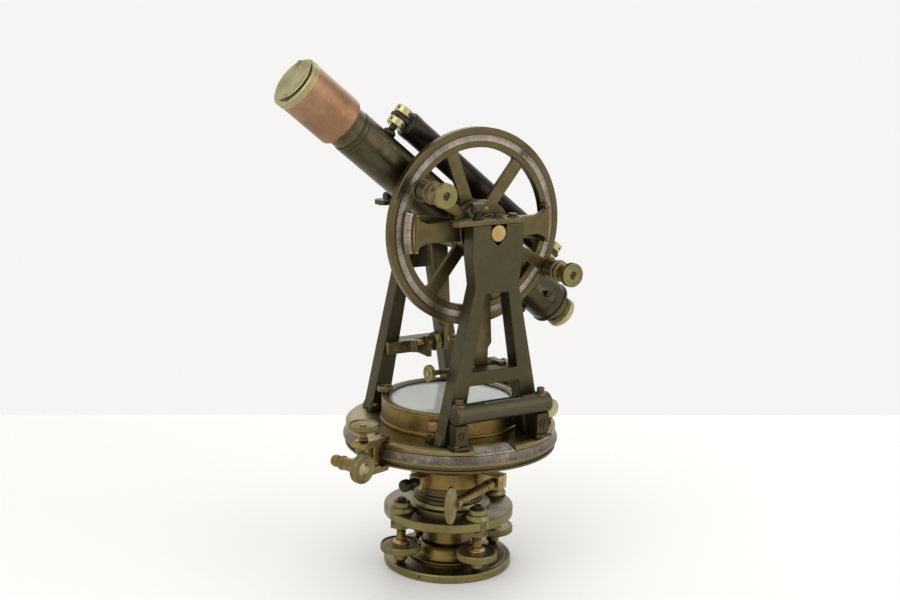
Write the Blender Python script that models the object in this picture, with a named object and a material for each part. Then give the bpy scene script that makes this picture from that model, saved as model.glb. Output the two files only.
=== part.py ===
"""An antique surveyor's transit theodolite on four-screw parallel plates.

The vertical axis is Z and the foot plate stands on z = 0. The trunnion axis lies along Y, with the
vertical circle on the -Y side, and the telescope turns in the XZ plane, its objective towards -X.
"""

import math

import bmesh
import bpy
from mathutils import Matrix, Vector

MM = 0.001
GAP = 0.3 * MM  # left wherever two pieces touch or seat

# Steps round a lathe shape, by its size
WIDE = 32
ROUND = 24
SMALL = 14
TINY = 10

# Foot, ball joint and levelling screws
FOOT_THICKNESS = 6.5 * MM
BALL_LIFT = 3.0 * MM  # ball centre above the foot plate
BALL_RADIUS = 21.0 * MM
SPINDLE_BALL_RADIUS = 14.7 * MM
SOCKET_FLANGE_RADIUS = 31.0 * MM
SOCKET_WALL = 2.0 * MM
SOCKET_HEIGHT = 8.1 * MM  # above the ball centre
NECK_RADIUS = 11.8 * MM
PILLAR_RADIUS = 19.5 * MM
PILLAR_SWING = 1.7 * MM  # room under the pillar for the tilt of the plates
PLATE_SPACING = 34.2 * MM
PLATE_THICKNESS = 7.5 * MM
BOSS_HEIGHT = 2.8 * MM
BOSS_CONE_HEIGHT = 3.3 * MM
BOSS_CONE_WIDTH = 5.0 * MM
SCREW_CIRCLE_RADIUS = 43.0 * MM
SCREW_STEM_RADIUS = 3.8 * MM
SCREW_SWING = 2.6 * MM  # room round and above a stem when the plates tilt
FOOT_RIM = 7.5 * MM  # beyond the circle of the levelling screws
PLATE_RIM = 8.1 * MM
SCREW_HEAD_ROOM = 3.7 * MM  # from a screw head to the ball socket
SCREW_HEAD_THICKNESS = 6.0 * MM
SCREW_HEAD_LIFT = 10.0 * MM
BUSH_WALL = 1.8 * MM
BUSH_NUT_RADIUS = 9.6 * MM
BUSH_NUT_HEIGHT = 4.5 * MM
BUSH_COLLAR_RADIUS = 9.6 * MM
BUSH_COLLAR_HEIGHT = 4.6 * MM
BUSH_CAP_HEIGHT = 6.6 * MM

# Vertical axis, horizontal limb and vernier plate
DRUM_RADIUS = 26.0 * MM
DRUM_HEIGHT = 28.0 * MM
OUTER_AXIS_RADIUS = 16.0 * MM
INNER_AXIS_RADIUS = 9.5 * MM
LIMB_RADIUS = 84.0 * MM
LIMB_THICKNESS = 13.0 * MM
LIMB_CONE_HEIGHT = 12.0 * MM
LIMB_HUB_HEIGHT = 5.0 * MM
LIMB_BEVEL_WIDTH = 2.5 * MM
LIMB_BEVEL_HEIGHT = 6.3 * MM
VERNIER_PLATE_THICKNESS = 4.8 * MM
VERNIER_WINDOW_ANGLE = math.radians(24.0)
VERNIER_WINDOW_TURN = math.radians(-97.0)
VERNIER_WINDOW_DEPTH = 11.0 * MM

# Lower and upper clamps, with their tangent screws
COLLAR_WALL = 4.0 * MM
COLLAR_HEIGHT = 14.0 * MM
LOWER_SCREW_OFFSET = 43.0 * MM
LOWER_SCREW_TURN = math.radians(26.8)
LOWER_SCREW_LENGTH = 62.0 * MM
LOWER_LUG_SIZE = 13.0 * MM
BLADE_HEIGHT = 30.0 * MM
BLADE_WIDTH = 13.0 * MM
BLADE_THICKNESS = 4.0 * MM
LOWER_TANGENT_TURN = math.radians(197.0)
LOWER_TANGENT_REACH = 40.0 * MM
UPPER_CLAMP_TURN = math.radians(197.5)
UPPER_CLAMP_REACH = 34.0 * MM  # beyond the limb's rim
CLAMP_STEM_REACH = 14.3 * MM
UPPER_TANGENT_REACH = 28.8 * MM
CLAMP_HEAD_LIFT = 6.0 * MM  # above the upper jaw
UPPER_CLAMP_WIDTH = 15.0 * MM
UPPER_CLAMP_JAW = 8.0 * MM
JAW_THICKNESS = 5.0 * MM
MILLED_HEAD_RADIUS = 11.5 * MM
MILLED_HEAD_THICKNESS = 5.5 * MM
THUMB_ROD_RADIUS = 2.6 * MM

# Compass
COMPASS_RADIUS = 54.3 * MM
COMPASS_WALL = 4.3 * MM
COMPASS_FLOOR = 2.6 * MM
COMPASS_HEIGHT = 16.0 * MM
GLASS_THICKNESS = 1.7 * MM
GLASS_LEDGE = 1.4 * MM
BEZEL_HEIGHT = 1.9 * MM
BEZEL_WIDTH = 6.8 * MM
DIAL_THICKNESS = 1.5 * MM
DIAL_RING_WIDTH = 5.5 * MM
DIAL_RING_HEIGHT = 4.7 * MM
NEEDLE_HEIGHT = 7.0 * MM  # above the dial
NEEDLE_WIDTH = 7.0 * MM
LIFTER_TURN = math.radians(141.0)
LIFTER_HEAD_RADIUS = 6.5 * MM

# Standards and trunnion bearings
TRUNNION_HEIGHT = 274.5 * MM
STANDARD_INNER = 48.0 * MM  # from the vertical axis to a standard's inner face
STANDARD_THICKNESS = 13.0 * MM
BLOCK_HALF_WIDTH = 22.0 * MM
BLOCK_TOP = 6.5 * MM  # above the trunnion axis
BLOCK_DEPTH = 38.5 * MM  # below the trunnion axis
LEG_TOP_OUTER = 20.0 * MM
LEG_TOP_INNER = 9.0 * MM
LEG_FOOT_OUTER = 44.5 * MM
LEG_FOOT_INNER = 29.0 * MM
CROSSBAR_BOTTOM = 43.0 * MM  # above the vernier plate
CROSSBAR_HEIGHT = 10.5 * MM
FOOT_FLANGE_THICKNESS = 4.0 * MM
FOOT_FLANGE_DEPTH = 6.5 * MM
PIVOT_RADIUS = 6.2 * MM
CAP_THICKNESS = 4.0 * MM
CAP_OVERHANG = 16.0 * MM
CAP_THUMB_HEIGHT = 12.0 * MM

# Levels on the plate
PLATE_LEVEL_RADIUS = 8.0 * MM
FRONT_LEVEL_LENGTH = 83.0 * MM
FRONT_LEVEL_HEIGHT = 26.0 * MM  # above the vernier plate
SIDE_LEVEL_RADIUS = 7.5 * MM
SIDE_LEVEL_LENGTH = 70.0 * MM
SIDE_LEVEL_HEIGHT = 10.5 * MM
LEVEL_POST_SIZE = 9.0 * MM

# Telescope, lying along X in its own frame with the objective at -X
ELEVATION = math.radians(38.5)
TUBE_RADIUS = 16.75 * MM
TUBE_WALL = 1.75 * MM
TUBE_FRONT = 116.0 * MM
TUBE_REAR = 115.0 * MM
SLIDE_WALL = 1.9 * MM
SLIDE_LENGTH = 56.0 * MM
CELL_WALL_STEP = 1.5 * MM
CELL_LENGTH = 34.0 * MM
LENS_SEAT = 1.6 * MM
LENS_THICKNESS = 4.0 * MM
SHADE_WALL = 3.0 * MM
SHADE_LENGTH = 43.0 * MM
SHADE_SETBACK = 9.0 * MM  # from the cell's rear face to the shade's
CAP_RADIUS = 20.0 * MM
CAP_DEPTH = 7.7 * MM
CAP_PLUG_LENGTH = 7.0 * MM
CAP_WALL = 1.8 * MM
FLANGE_RADIUS = 17.4 * MM
FLANGE_THICKNESS = 3.0 * MM
EYE_TUBE_RADIUS = 11.5 * MM
EYE_TUBE_BORE = 8.0 * MM
EYE_TUBE_INSET = 13.0 * MM
EYE_TUBE_LENGTH = 28.0 * MM
EYECUP_WALL = 0.8 * MM
EYECUP_LENGTH = 9.0 * MM
EYE_HOLE_RADIUS = 3.0 * MM
RETICLE_PLACE = 97.5 * MM
CAPSTAN_RADIUS = 1.8 * MM
FOCUS_PLACE = 45.0 * MM
FOCUS_HEAD_RADIUS = 8.0 * MM
FOCUS_HEAD_THICKNESS = 5.0 * MM
HUB_WALL = 3.15 * MM
HUB_HALF_WIDTH = 21.0 * MM
AXIS_RADIUS = 8.0 * MM

# Telescope level
TUBE_LEVEL_RADIUS = 10.3 * MM
TUBE_LEVEL_ROOM = 4.75 * MM  # between the telescope tube and its level
TUBE_LEVEL_HALF_LENGTH = 82.0 * MM
LEVEL_LUG_LENGTH = 13.0 * MM
LEVEL_LUG_THICKNESS = 3.4 * MM
LEVEL_STUD_RADIUS = 2.6 * MM
LEVEL_NUT_RADIUS = 6.6 * MM
LEVEL_NUT_HEIGHT = 6.0 * MM
LEVEL_SADDLE_RADIUS = 5.0 * MM

# Vertical circle, index frame and magnifiers
CIRCLE_RADIUS = 74.5 * MM
CIRCLE_RIM_WIDTH = 15.0 * MM
CIRCLE_INNER_FACE = 23.7 * MM
CIRCLE_THICKNESS = 6.5 * MM
SPOKE_WIDTH = 10.0 * MM
SPOKE_THICKNESS = 4.0 * MM
CIRCLE_HUB_RADIUS = 20.0 * MM
INDEX_STANDOFF = 3.8 * MM  # from the circle to the index frame
INDEX_THICKNESS = 8.0 * MM
INDEX_HUB_RADIUS = 21.5 * MM
INDEX_REACH = 64.0 * MM
INDEX_ARM_HALF_HEIGHT = 8.0 * MM
INDEX_PLATE_WIDTH = 6.0 * MM
INDEX_PLATE_HALF_HEIGHT = 15.0 * MM
TAIL_LENGTH = 109.0 * MM
TAIL_HALF_WIDTH = 6.0 * MM
CLIP_TRAVEL = 1.8 * MM
CLIP_ROD_RADIUS = 2.0 * MM
CLIP_HEAD_RADIUS = 6.5 * MM
CLIP_LEFT_REACH = 45.0 * MM
CLIP_RIGHT_REACH = 27.0 * MM
MAGNIFIER_TURN = math.radians(149.5)
MAGNIFIER_REACH = 65.0 * MM
MAGNIFIER_BAR_WIDTH = 10.0 * MM
MAGNIFIER_BAR_THICKNESS = 3.0 * MM
MAGNIFIER_BARREL_RADIUS = 5.7 * MM
MAGNIFIER_EYE_RADIUS = 9.2 * MM
MAGNIFIER_LENGTH = 35.0 * MM
MAGNIFIER_SLEEVE = 11.0 * MM  # from the arm to the flange of a magnifier

# Axis clamp and telescope tangent screw, on the +Y side
AXIS_ARM_FACE = 24.0 * MM
AXIS_ARM_THICKNESS = 9.0 * MM
AXIS_COLLAR_RADIUS = 17.0 * MM
AXIS_ARM_LENGTH = 108.0 * MM
AXIS_ARM_SHIFT = 9.0 * MM
AXIS_SCREW_LIFT = 17.5 * MM
AXIS_SCREW_REACH = 46.0 * MM
TANGENT_SCREW_DROP = 101.0 * MM
TANGENT_TRAVEL = 3.0 * MM
TANGENT_HEAD_RADIUS = 7.5 * MM
BRACKET_DEPTH = 8.0 * MM
BRACKET_HEIGHT = 12.0 * MM

# Heights and radii that follow
FOOT_RADIUS = SCREW_CIRCLE_RADIUS + FOOT_RIM
PLATE_RADIUS = SCREW_CIRCLE_RADIUS + PLATE_RIM
BOSS_RADIUS = SCREW_CIRCLE_RADIUS - BUSH_COLLAR_RADIUS - GAP
SOCKET_SHELL_RADIUS = BALL_RADIUS + GAP + SOCKET_WALL
SCREW_HEAD_RADIUS = SCREW_CIRCLE_RADIUS - SOCKET_SHELL_RADIUS - SCREW_HEAD_ROOM
BOSS_CONE_TOP_RADIUS = BOSS_RADIUS - BOSS_CONE_WIDTH
TUBE_BORE = TUBE_RADIUS - TUBE_WALL
SLIDE_RADIUS = TUBE_BORE - GAP
CELL_RADIUS = SLIDE_RADIUS + CELL_WALL_STEP
CELL_BORE = SLIDE_RADIUS - SLIDE_WALL
TUBE_LEVEL_LIFT = TUBE_RADIUS + TUBE_LEVEL_ROOM + TUBE_LEVEL_RADIUS
HUB_RADIUS = TUBE_RADIUS + GAP + HUB_WALL
FOOT_TOP = FOOT_THICKNESS
BALL_HEIGHT = FOOT_TOP + BALL_LIFT
PLATE_BOTTOM = FOOT_TOP + PLATE_SPACING
PLATE_TOP = PLATE_BOTTOM + PLATE_THICKNESS
DRUM_BASE = PLATE_TOP + BOSS_HEIGHT + BOSS_CONE_HEIGHT
DRUM_TOP = DRUM_BASE + GAP + DRUM_HEIGHT
LIMB_HUB_BASE = DRUM_TOP + GAP
LIMB_BASE = LIMB_HUB_BASE + LIMB_HUB_HEIGHT + LIMB_CONE_HEIGHT
LIMB_TOP = LIMB_BASE + LIMB_THICKNESS
VERNIER_BOTTOM = LIMB_TOP + GAP
VERNIER_TOP = VERNIER_BOTTOM + VERNIER_PLATE_THICKNESS
VERNIER_RADIUS = LIMB_RADIUS - LIMB_BEVEL_WIDTH + 0.5 * MM
DECK = VERNIER_TOP + GAP
COMPASS_INNER = COMPASS_RADIUS - COMPASS_WALL
COMPASS_TOP = DECK + COMPASS_HEIGHT
DIAL_TOP = DECK + COMPASS_FLOOR + GAP + DIAL_THICKNESS
STANDARD_OUTER = STANDARD_INNER + STANDARD_THICKNESS
STANDARD_TOP = TRUNNION_HEIGHT + BLOCK_TOP
BLOCK_BOTTOM = TRUNNION_HEIGHT - BLOCK_DEPTH
CROSSBAR_BASE = DECK + CROSSBAR_BOTTOM
CROSSBAR_TOP = CROSSBAR_BASE + CROSSBAR_HEIGHT
AXIS_BORE = AXIS_RADIUS + GAP
CIRCLE_FACE = -CIRCLE_INNER_FACE - CIRCLE_THICKNESS
INDEX_BACK = CIRCLE_FACE - INDEX_STANDOFF
INDEX_FRONT = INDEX_BACK - INDEX_THICKNESS
CLIP_HEIGHT = TRUNNION_HEIGHT - TAIL_LENGTH + 3.0 * MM
CLIP_Y = (INDEX_BACK + INDEX_FRONT) / 2
TRUNNION = Vector((0.0, 0.0, TRUNNION_HEIGHT))

# Finishes: colour, metallic and roughness
OLIVE_BRONZE = ((0.105, 0.090, 0.050), 0.9, 0.42)
DARK_BRONZE = ((0.060, 0.050, 0.032), 0.9, 0.40)
AGED_BRASS = ((0.300, 0.250, 0.130), 1.0, 0.38)
PALE_BRASS = ((0.480, 0.440, 0.250), 1.0, 0.35)
BRIGHT_BRASS = ((0.560, 0.370, 0.130), 1.0, 0.30)
COPPER = ((0.430, 0.230, 0.130), 1.0, 0.36)
SILVER = ((0.420, 0.370, 0.300), 1.0, 0.45)
BLACK = ((0.020, 0.018, 0.016), 0.4, 0.35)
STEEL = ((0.200, 0.200, 0.220), 1.0, 0.30)
GLASS = ((0.780, 0.850, 0.820), 0.0, 0.05)
DIAL_WHITE = ((0.620, 0.640, 0.580), 0.1, 0.50)


def clear_scene():
    for old in list(bpy.data.objects):
        bpy.data.objects.remove(old, do_unlink=True)


def coat(obj, finish):
    colour, metallic, roughness = finish
    material = bpy.data.materials.new(obj.name)
    material.use_nodes = True
    shader = material.node_tree.nodes["Principled BSDF"]
    shader.inputs["Base Color"].default_value = (*colour, 1.0)
    shader.inputs["Metallic"].default_value = metallic
    shader.inputs["Roughness"].default_value = roughness
    obj.data.materials.append(material)


def object_from(name, mesh_builder, finish):
    """Turns a bmesh into a named object whose faces point out."""
    bmesh.ops.remove_doubles(mesh_builder, verts=mesh_builder.verts, dist=1e-7)
    bmesh.ops.recalc_face_normals(mesh_builder, faces=mesh_builder.faces)
    mesh = bpy.data.meshes.new(name)
    mesh_builder.to_mesh(mesh)
    mesh_builder.free()
    mesh.shade_smooth()
    mesh.set_sharp_from_angle(angle=math.radians(30))
    obj = bpy.data.objects.new(name, mesh)
    bpy.context.scene.collection.objects.link(obj)
    if finish:
        coat(obj, finish)
    return obj


def turned(name, outline, finish=None, steps=ROUND):
    """A lathe shape about Z. An outline of (radius, height) that starts and ends on the axis is a
    solid, and any other is closed into a ring."""
    builder = bmesh.new()
    points = [builder.verts.new((radius, 0.0, height)) for radius, height in outline]
    edges = [builder.edges.new(pair) for pair in zip(points, points[1:])]
    if outline[0][0] > 0 or outline[-1][0] > 0:
        edges.append(builder.edges.new((points[-1], points[0])))
    bmesh.ops.spin(
        builder,
        geom=points + edges,
        cent=(0, 0, 0),
        axis=(0, 0, 1),
        angle=2 * math.pi,
        steps=steps,
        use_merge=True,
    )
    return object_from(name, builder, finish)


def swept(name, outline, start, angle, finish=None, steps=8):
    """A closed (radius, height) outline turned about Z through part of a circle."""
    builder = bmesh.new()
    points = [builder.verts.new((radius, 0.0, height)) for radius, height in outline]
    face = builder.faces.new(points)
    bmesh.ops.rotate(
        builder, verts=points, cent=(0, 0, 0), matrix=Matrix.Rotation(start, 3, "Z")
    )
    bmesh.ops.spin(
        builder, geom=[face], cent=(0, 0, 0), axis=(0, 0, 1), angle=angle, steps=steps
    )
    return object_from(name, builder, finish)


def slab(name, outline, low, high, finish=None):
    """A flat outline of (x, z) points extruded along Y from low to high."""
    builder = bmesh.new()
    face = builder.faces.new([builder.verts.new((x, low, z)) for x, z in outline])
    grown = bmesh.ops.extrude_face_region(builder, geom=[face])
    moved = [item for item in grown["geom"] if isinstance(item, bmesh.types.BMVert)]
    bmesh.ops.translate(builder, verts=moved, vec=(0, high - low, 0))
    return object_from(name, builder, finish)


def box(name, low, high, finish=None):
    outline = [(low[0], low[2]), (high[0], low[2]), (high[0], high[2]), (low[0], high[2])]
    return slab(name, outline, low[1], high[1], finish)


def rod(name, radius, low, high, finish=None, steps=TINY):
    return turned(name, [(0, low), (radius, low), (radius, high), (0, high)], finish, steps)


def arc(radius, centre, start, end, steps):
    """(radius, height) points on a sphere centred on the axis, between two heights from its centre."""
    first = math.asin(start / radius)
    last = math.asin(end / radius)
    angles = [first + (last - first) * step / steps for step in range(steps + 1)]
    return [(radius * math.cos(a), centre + radius * math.sin(a)) for a in angles]


def aim(obj, place, direction):
    """Stands a lathe shape at a place with its own Z along a direction."""
    turn = Vector(direction).to_track_quat("Z", "Y")
    obj.rotation_mode = "QUATERNION"
    obj.rotation_quaternion = turn
    obj.location = place
    return obj


def bake(obj):
    """Writes an object's place into its mesh."""
    obj.data.transform(obj.matrix_basis)
    obj.matrix_basis = Matrix.Identity(4)
    return obj


def combine(obj, other, operation):
    other.hide_render = True
    other.display_type = "WIRE"
    modifier = obj.modifiers.new(other.name, "BOOLEAN")
    modifier.operation = operation
    modifier.solver = "EXACT"
    modifier.object = other


def fuse(obj, *others):
    for other in others:
        combine(obj, other, "UNION")
    return obj


def cut(obj, *others):
    for other in others:
        combine(obj, other, "DIFFERENCE")
    return obj


def hang(obj, parent):
    """Parents an object without moving it, with any shapes that its Booleans use."""
    obj.parent = parent
    for modifier in obj.modifiers:
        if modifier.type == "BOOLEAN":
            modifier.object.parent = parent


def frame_at(name, place, turn=0.0, axis="Z"):
    empty = bpy.data.objects.new(name, None)
    bpy.context.scene.collection.objects.link(empty)
    empty.location = place
    empty.rotation_euler["XYZ".index(axis)] = turn
    return empty


def around(turn, radius, height):
    return Vector((radius * math.cos(turn), radius * math.sin(turn), height))


def milled_screw(name, head_radius, head_low, head_high, rod_radius, low, high, finish):
    """A straight screw with a disc head, as a lathe shape along Z."""
    chamfer = 0.8 * MM
    outline = [
        (0, low),
        (rod_radius, low),
        (rod_radius, head_low),
        (head_radius - chamfer, head_low),
        (head_radius, head_low + chamfer),
        (head_radius, head_high - chamfer),
        (head_radius - chamfer, head_high),
    ]
    if high > head_high:
        outline += [(rod_radius, head_high), (rod_radius, high), (0, high)]
    else:
        outline.append((0, head_high))
    return turned(name, outline, finish, SMALL)


# Foot and levelling


def make_foot():
    chamfer = 0.8 * MM
    turned(
        "foot_plate",
        [
            (0, 0),
            (FOOT_RADIUS - chamfer, 0),
            (FOOT_RADIUS, chamfer),
            (FOOT_RADIUS, FOOT_TOP - chamfer),
            (FOOT_RADIUS - chamfer, FOOT_TOP),
            (0, FOOT_TOP),
        ],
        OLIVE_BRONZE,
        WIDE,
    )
    bore = BALL_RADIUS + GAP
    base = FOOT_TOP + GAP
    top = BALL_HEIGHT + SOCKET_HEIGHT
    rim = math.sqrt(bore**2 - SOCKET_HEIGHT**2)
    shell = bore + SOCKET_WALL
    inside = list(reversed(arc(bore, BALL_HEIGHT, 0, SOCKET_HEIGHT, 5)))
    turned(
        "ball_socket",
        [(bore, base), (SOCKET_FLANGE_RADIUS, base), (SOCKET_FLANGE_RADIUS, base + 1.6 * MM)]
        + [(shell + 2.5 * MM, base + 2.6 * MM), (shell + 0.4 * MM, base + 6.0 * MM)]
        + [(rim + SOCKET_WALL, top), (rim, top)]
        + inside[1:],
        AGED_BRASS,
    )
    low = -1.3 * MM
    high = SOCKET_HEIGHT - GAP
    outside = arc(BALL_RADIUS, BALL_HEIGHT, low, high, 5)
    cup = list(reversed(arc(SPINDLE_BALL_RADIUS + GAP, BALL_HEIGHT, low, high, 5)))
    turned("levelling_ball", outside + cup, STEEL)


def screw_places():
    """The four levelling screws, anticlockwise from +X."""
    return [around(math.pi / 2 * i, SCREW_CIRCLE_RADIUS, 0) for i in range(4)]


def make_upper_plate():
    ball = arc(SPINDLE_BALL_RADIUS, BALL_HEIGHT, -0.6 * MM, 8.7 * MM, 6)
    pillar_base = BALL_HEIGHT + SOCKET_HEIGHT + PILLAR_SWING
    chamfer = 0.8 * MM
    plate = turned(
        "upper_parallel_plate",
        [(0, ball[0][1])]
        + ball
        + [
            (NECK_RADIUS, pillar_base),
            (PILLAR_RADIUS, pillar_base),
            (PILLAR_RADIUS, PLATE_BOTTOM),
            (PLATE_RADIUS - chamfer, PLATE_BOTTOM),
            (PLATE_RADIUS, PLATE_BOTTOM + chamfer),
            (PLATE_RADIUS, PLATE_TOP - chamfer),
            (PLATE_RADIUS - chamfer, PLATE_TOP),
            (BOSS_RADIUS, PLATE_TOP),
            (BOSS_RADIUS, PLATE_TOP + BOSS_HEIGHT),
            (BOSS_CONE_TOP_RADIUS, DRUM_BASE),
            (0, DRUM_BASE),
        ],
        OLIVE_BRONZE,
        WIDE,
    )
    bore = SCREW_STEM_RADIUS + SCREW_SWING
    shank = bore + BUSH_WALL
    for number, place in enumerate(screw_places(), start=1):
        hole = rod(f"bush_hole_{number}", shank + GAP, PLATE_BOTTOM - MM, PLATE_TOP + MM, None, SMALL)
        hole.data.transform(Matrix.Translation(place) @ Matrix.Rotation(math.radians(5), 4, "Z"))
        cut(plate, hole)
        make_bush(number, place, bore, shank)
        make_levelling_screw(number, place)
    turned(
        "spindle_socket",
        [
            (OUTER_AXIS_RADIUS + GAP, DRUM_BASE + GAP),
            (DRUM_RADIUS, DRUM_BASE + GAP),
            (DRUM_RADIUS, DRUM_TOP),
            (OUTER_AXIS_RADIUS + GAP, DRUM_TOP),
        ],
        DARK_BRONZE,
    )


def make_bush(number, place, bore, shank):
    under = PLATE_BOTTOM - GAP
    over = PLATE_TOP + GAP
    collar_top = over + BUSH_COLLAR_HEIGHT
    cap_top = collar_top + BUSH_CAP_HEIGHT
    bush = turned(
        f"screw_bush_{number}",
        [
            (0, cap_top),
            (shank * 0.55, cap_top),
            (shank, cap_top - 3.0 * MM),
            (shank, collar_top),
            (BUSH_COLLAR_RADIUS, collar_top),
            (BUSH_COLLAR_RADIUS, over),
            (shank, over),
            (shank, under),
            (BUSH_NUT_RADIUS, under),
            (BUSH_NUT_RADIUS, under - BUSH_NUT_HEIGHT),
            (bore, under - BUSH_NUT_HEIGHT),
            (bore, cap_top - 3.2 * MM),
            (0, cap_top - 1.6 * MM),
        ],
        AGED_BRASS,
        SMALL,
    )
    bush.location = place


def make_levelling_screw(number, place):
    tip = FOOT_TOP + GAP
    head = FOOT_TOP + SCREW_HEAD_LIFT
    head_top = head + SCREW_HEAD_THICKNESS
    top = PLATE_TOP + BUSH_COLLAR_HEIGHT + BUSH_CAP_HEIGHT - 3.2 * MM - SCREW_SWING
    screw = turned(
        f"levelling_screw_{number}",
        [
            (0, tip),
            (3.0 * MM, tip),
            (5.5 * MM, tip + 3.0 * MM),
            (SCREW_STEM_RADIUS, tip + 5.5 * MM),
            (SCREW_STEM_RADIUS, head),
            (SCREW_HEAD_RADIUS - 0.8 * MM, head),
            (SCREW_HEAD_RADIUS, head + 0.8 * MM),
            (SCREW_HEAD_RADIUS, head_top - 0.8 * MM),
            (SCREW_HEAD_RADIUS - 0.8 * MM, head_top),
            (8.0 * MM, head_top - 1.0 * MM),
            (8.0 * MM, head_top + 3.0 * MM),
            (SCREW_STEM_RADIUS, head_top + 4.0 * MM),
            (SCREW_STEM_RADIUS, top),
            (0, top),
        ],
        AGED_BRASS,
        SMALL,
    )
    screw.location = place


# Horizontal limb, vernier plate and their clamps


def make_limb():
    bore = INNER_AXIS_RADIUS + GAP
    hub = DRUM_RADIUS - 1.5 * MM
    bevel_base = LIMB_TOP - LIMB_BEVEL_HEIGHT
    turned(
        "horizontal_limb",
        [
            (bore, DRUM_BASE + 2 * GAP),
            (OUTER_AXIS_RADIUS, DRUM_BASE + 2 * GAP),
            (OUTER_AXIS_RADIUS, LIMB_HUB_BASE),
            (hub, LIMB_HUB_BASE),
            (hub, LIMB_HUB_BASE + LIMB_HUB_HEIGHT),
            (LIMB_RADIUS - 24.0 * MM, LIMB_BASE - 3.0 * MM),
            (LIMB_RADIUS - 14.0 * MM, LIMB_BASE),
            (LIMB_RADIUS - 1.5 * MM, LIMB_BASE),
            (LIMB_RADIUS - 1.5 * MM, LIMB_BASE + 1.6 * MM),
            (LIMB_RADIUS - 3.0 * MM, LIMB_BASE + 2.2 * MM),
            (LIMB_RADIUS - 3.0 * MM, LIMB_BASE + 4.6 * MM),
            (LIMB_RADIUS, LIMB_BASE + 5.4 * MM),
            (LIMB_RADIUS, bevel_base),
            (LIMB_RADIUS - LIMB_BEVEL_WIDTH, LIMB_TOP),
            (bore, LIMB_TOP),
        ],
        SILVER,
        WIDE,
    )


def make_lower_clamp():
    bore = DRUM_RADIUS + GAP
    outer = bore + COLLAR_WALL
    low = DRUM_TOP - COLLAR_HEIGHT - MM
    high = low + COLLAR_HEIGHT
    middle = (low + high) / 2
    collar = turned(
        "lower_clamp_collar",
        [(bore, low), (outer, low), (outer, high), (bore, high)],
        AGED_BRASS,
    )
    along = Vector((math.cos(LOWER_SCREW_TURN), math.sin(LOWER_SCREW_TURN), 0))
    out = Vector((along.y, -along.x, 0))
    spin = Matrix.Rotation(math.atan2(out.y, out.x), 4, "Z")
    half = LOWER_LUG_SIZE / 2
    lug = box(
        "lower_lug",
        (bore + MM, -half, middle - half * 0.9),
        (LOWER_SCREW_OFFSET + half * 0.9, half, middle + half * 0.9),
    )
    lug.data.transform(spin)
    lug_hole = rod("lower_lug_hole", THUMB_ROD_RADIUS + GAP, -LOWER_LUG_SIZE, LOWER_LUG_SIZE)
    centre = out * LOWER_SCREW_OFFSET + Vector((0, 0, middle))
    bake(aim(lug_hole, centre, along))
    reach = Matrix.Rotation(LOWER_TANGENT_TURN, 4, "Z")
    arm = box(
        "lower_arm",
        (bore + MM, -6.5 * MM, middle - 5 * MM),
        (LOWER_TANGENT_REACH, 6.5 * MM, middle + 5 * MM),
    )
    arm.data.transform(reach)
    arm_hole = rod(
        "lower_arm_hole",
        THUMB_ROD_RADIUS + GAP,
        LOWER_TANGENT_REACH - 8 * MM,
        LOWER_TANGENT_REACH + MM,
    )
    outward = around(LOWER_TANGENT_TURN, 1, 0)
    bake(aim(arm_hole, Vector((0, 0, middle)), outward))
    fuse(collar, lug, arm)
    cut(collar, lug_hole, arm_hole)
    rod_end = LOWER_LUG_SIZE / 2 + 2.0 * MM
    screw = turned(
        "lower_clamp_screw",
        [
            (0, -rod_end),
            (THUMB_ROD_RADIUS, -rod_end),
            (THUMB_ROD_RADIUS, LOWER_LUG_SIZE / 2 + 2 * MM),
            (4.2 * MM, LOWER_LUG_SIZE / 2 + 4 * MM),
            (4.2 * MM, LOWER_LUG_SIZE / 2 + 9 * MM),
            (THUMB_ROD_RADIUS, LOWER_LUG_SIZE / 2 + 11 * MM),
            (THUMB_ROD_RADIUS, LOWER_SCREW_LENGTH - 8 * MM),
            (4.4 * MM, LOWER_SCREW_LENGTH - 5 * MM),
            (4.4 * MM, LOWER_SCREW_LENGTH),
            (0, LOWER_SCREW_LENGTH),
        ],
        AGED_BRASS,
        SMALL,
    )
    blade = turned(
        "lower_blade",
        [(0, 0), (BLADE_HEIGHT / 2, 0), (BLADE_HEIGHT / 2, BLADE_THICKNESS), (0, BLADE_THICKNESS)],
        None,
        SMALL,
    )
    blade.data.transform(Matrix.Translation((0, 0, -BLADE_THICKNESS / 2)))
    blade.data.transform(Matrix.Diagonal((1, BLADE_WIDTH / BLADE_HEIGHT, 1, 1)))
    blade.data.transform(Matrix.Rotation(math.pi / 2, 4, "X"))
    blade.data.transform(Matrix.Translation((0, 0, LOWER_SCREW_LENGTH + BLADE_WIDTH / 2 - MM)))
    fuse(screw, blade)
    stand_screw(screw, centre, -along)
    tangent = turned(
        "lower_tangent_screw",
        [
            (0, 0),
            (THUMB_ROD_RADIUS, 0),
            (THUMB_ROD_RADIUS, 8 * MM),
            (4.5 * MM, 8 * MM),
            (4.5 * MM, 14 * MM),
            (7.0 * MM, 15 * MM),
            (7.5 * MM, 18 * MM),
            (6.0 * MM, 20.5 * MM),
            (0, 21.5 * MM),
        ],
        BLACK,
        SMALL,
    )
    aim(tangent, outward * (LOWER_TANGENT_REACH - 7 * MM) + Vector((0, 0, middle)), outward)


def stand_screw(screw, place, direction):
    """Places a screw whose own X should stay upright, with the shapes that it is fused from."""
    side = Vector((0, 0, 1)).cross(direction)
    turn = Matrix((Vector((0, 0, 1)), side, direction)).transposed()
    parts = [screw] + [m.object for m in screw.modifiers if m.type == "BOOLEAN"]
    for part in parts:
        part.matrix_basis = Matrix.Translation(place) @ turn.to_4x4()


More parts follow.
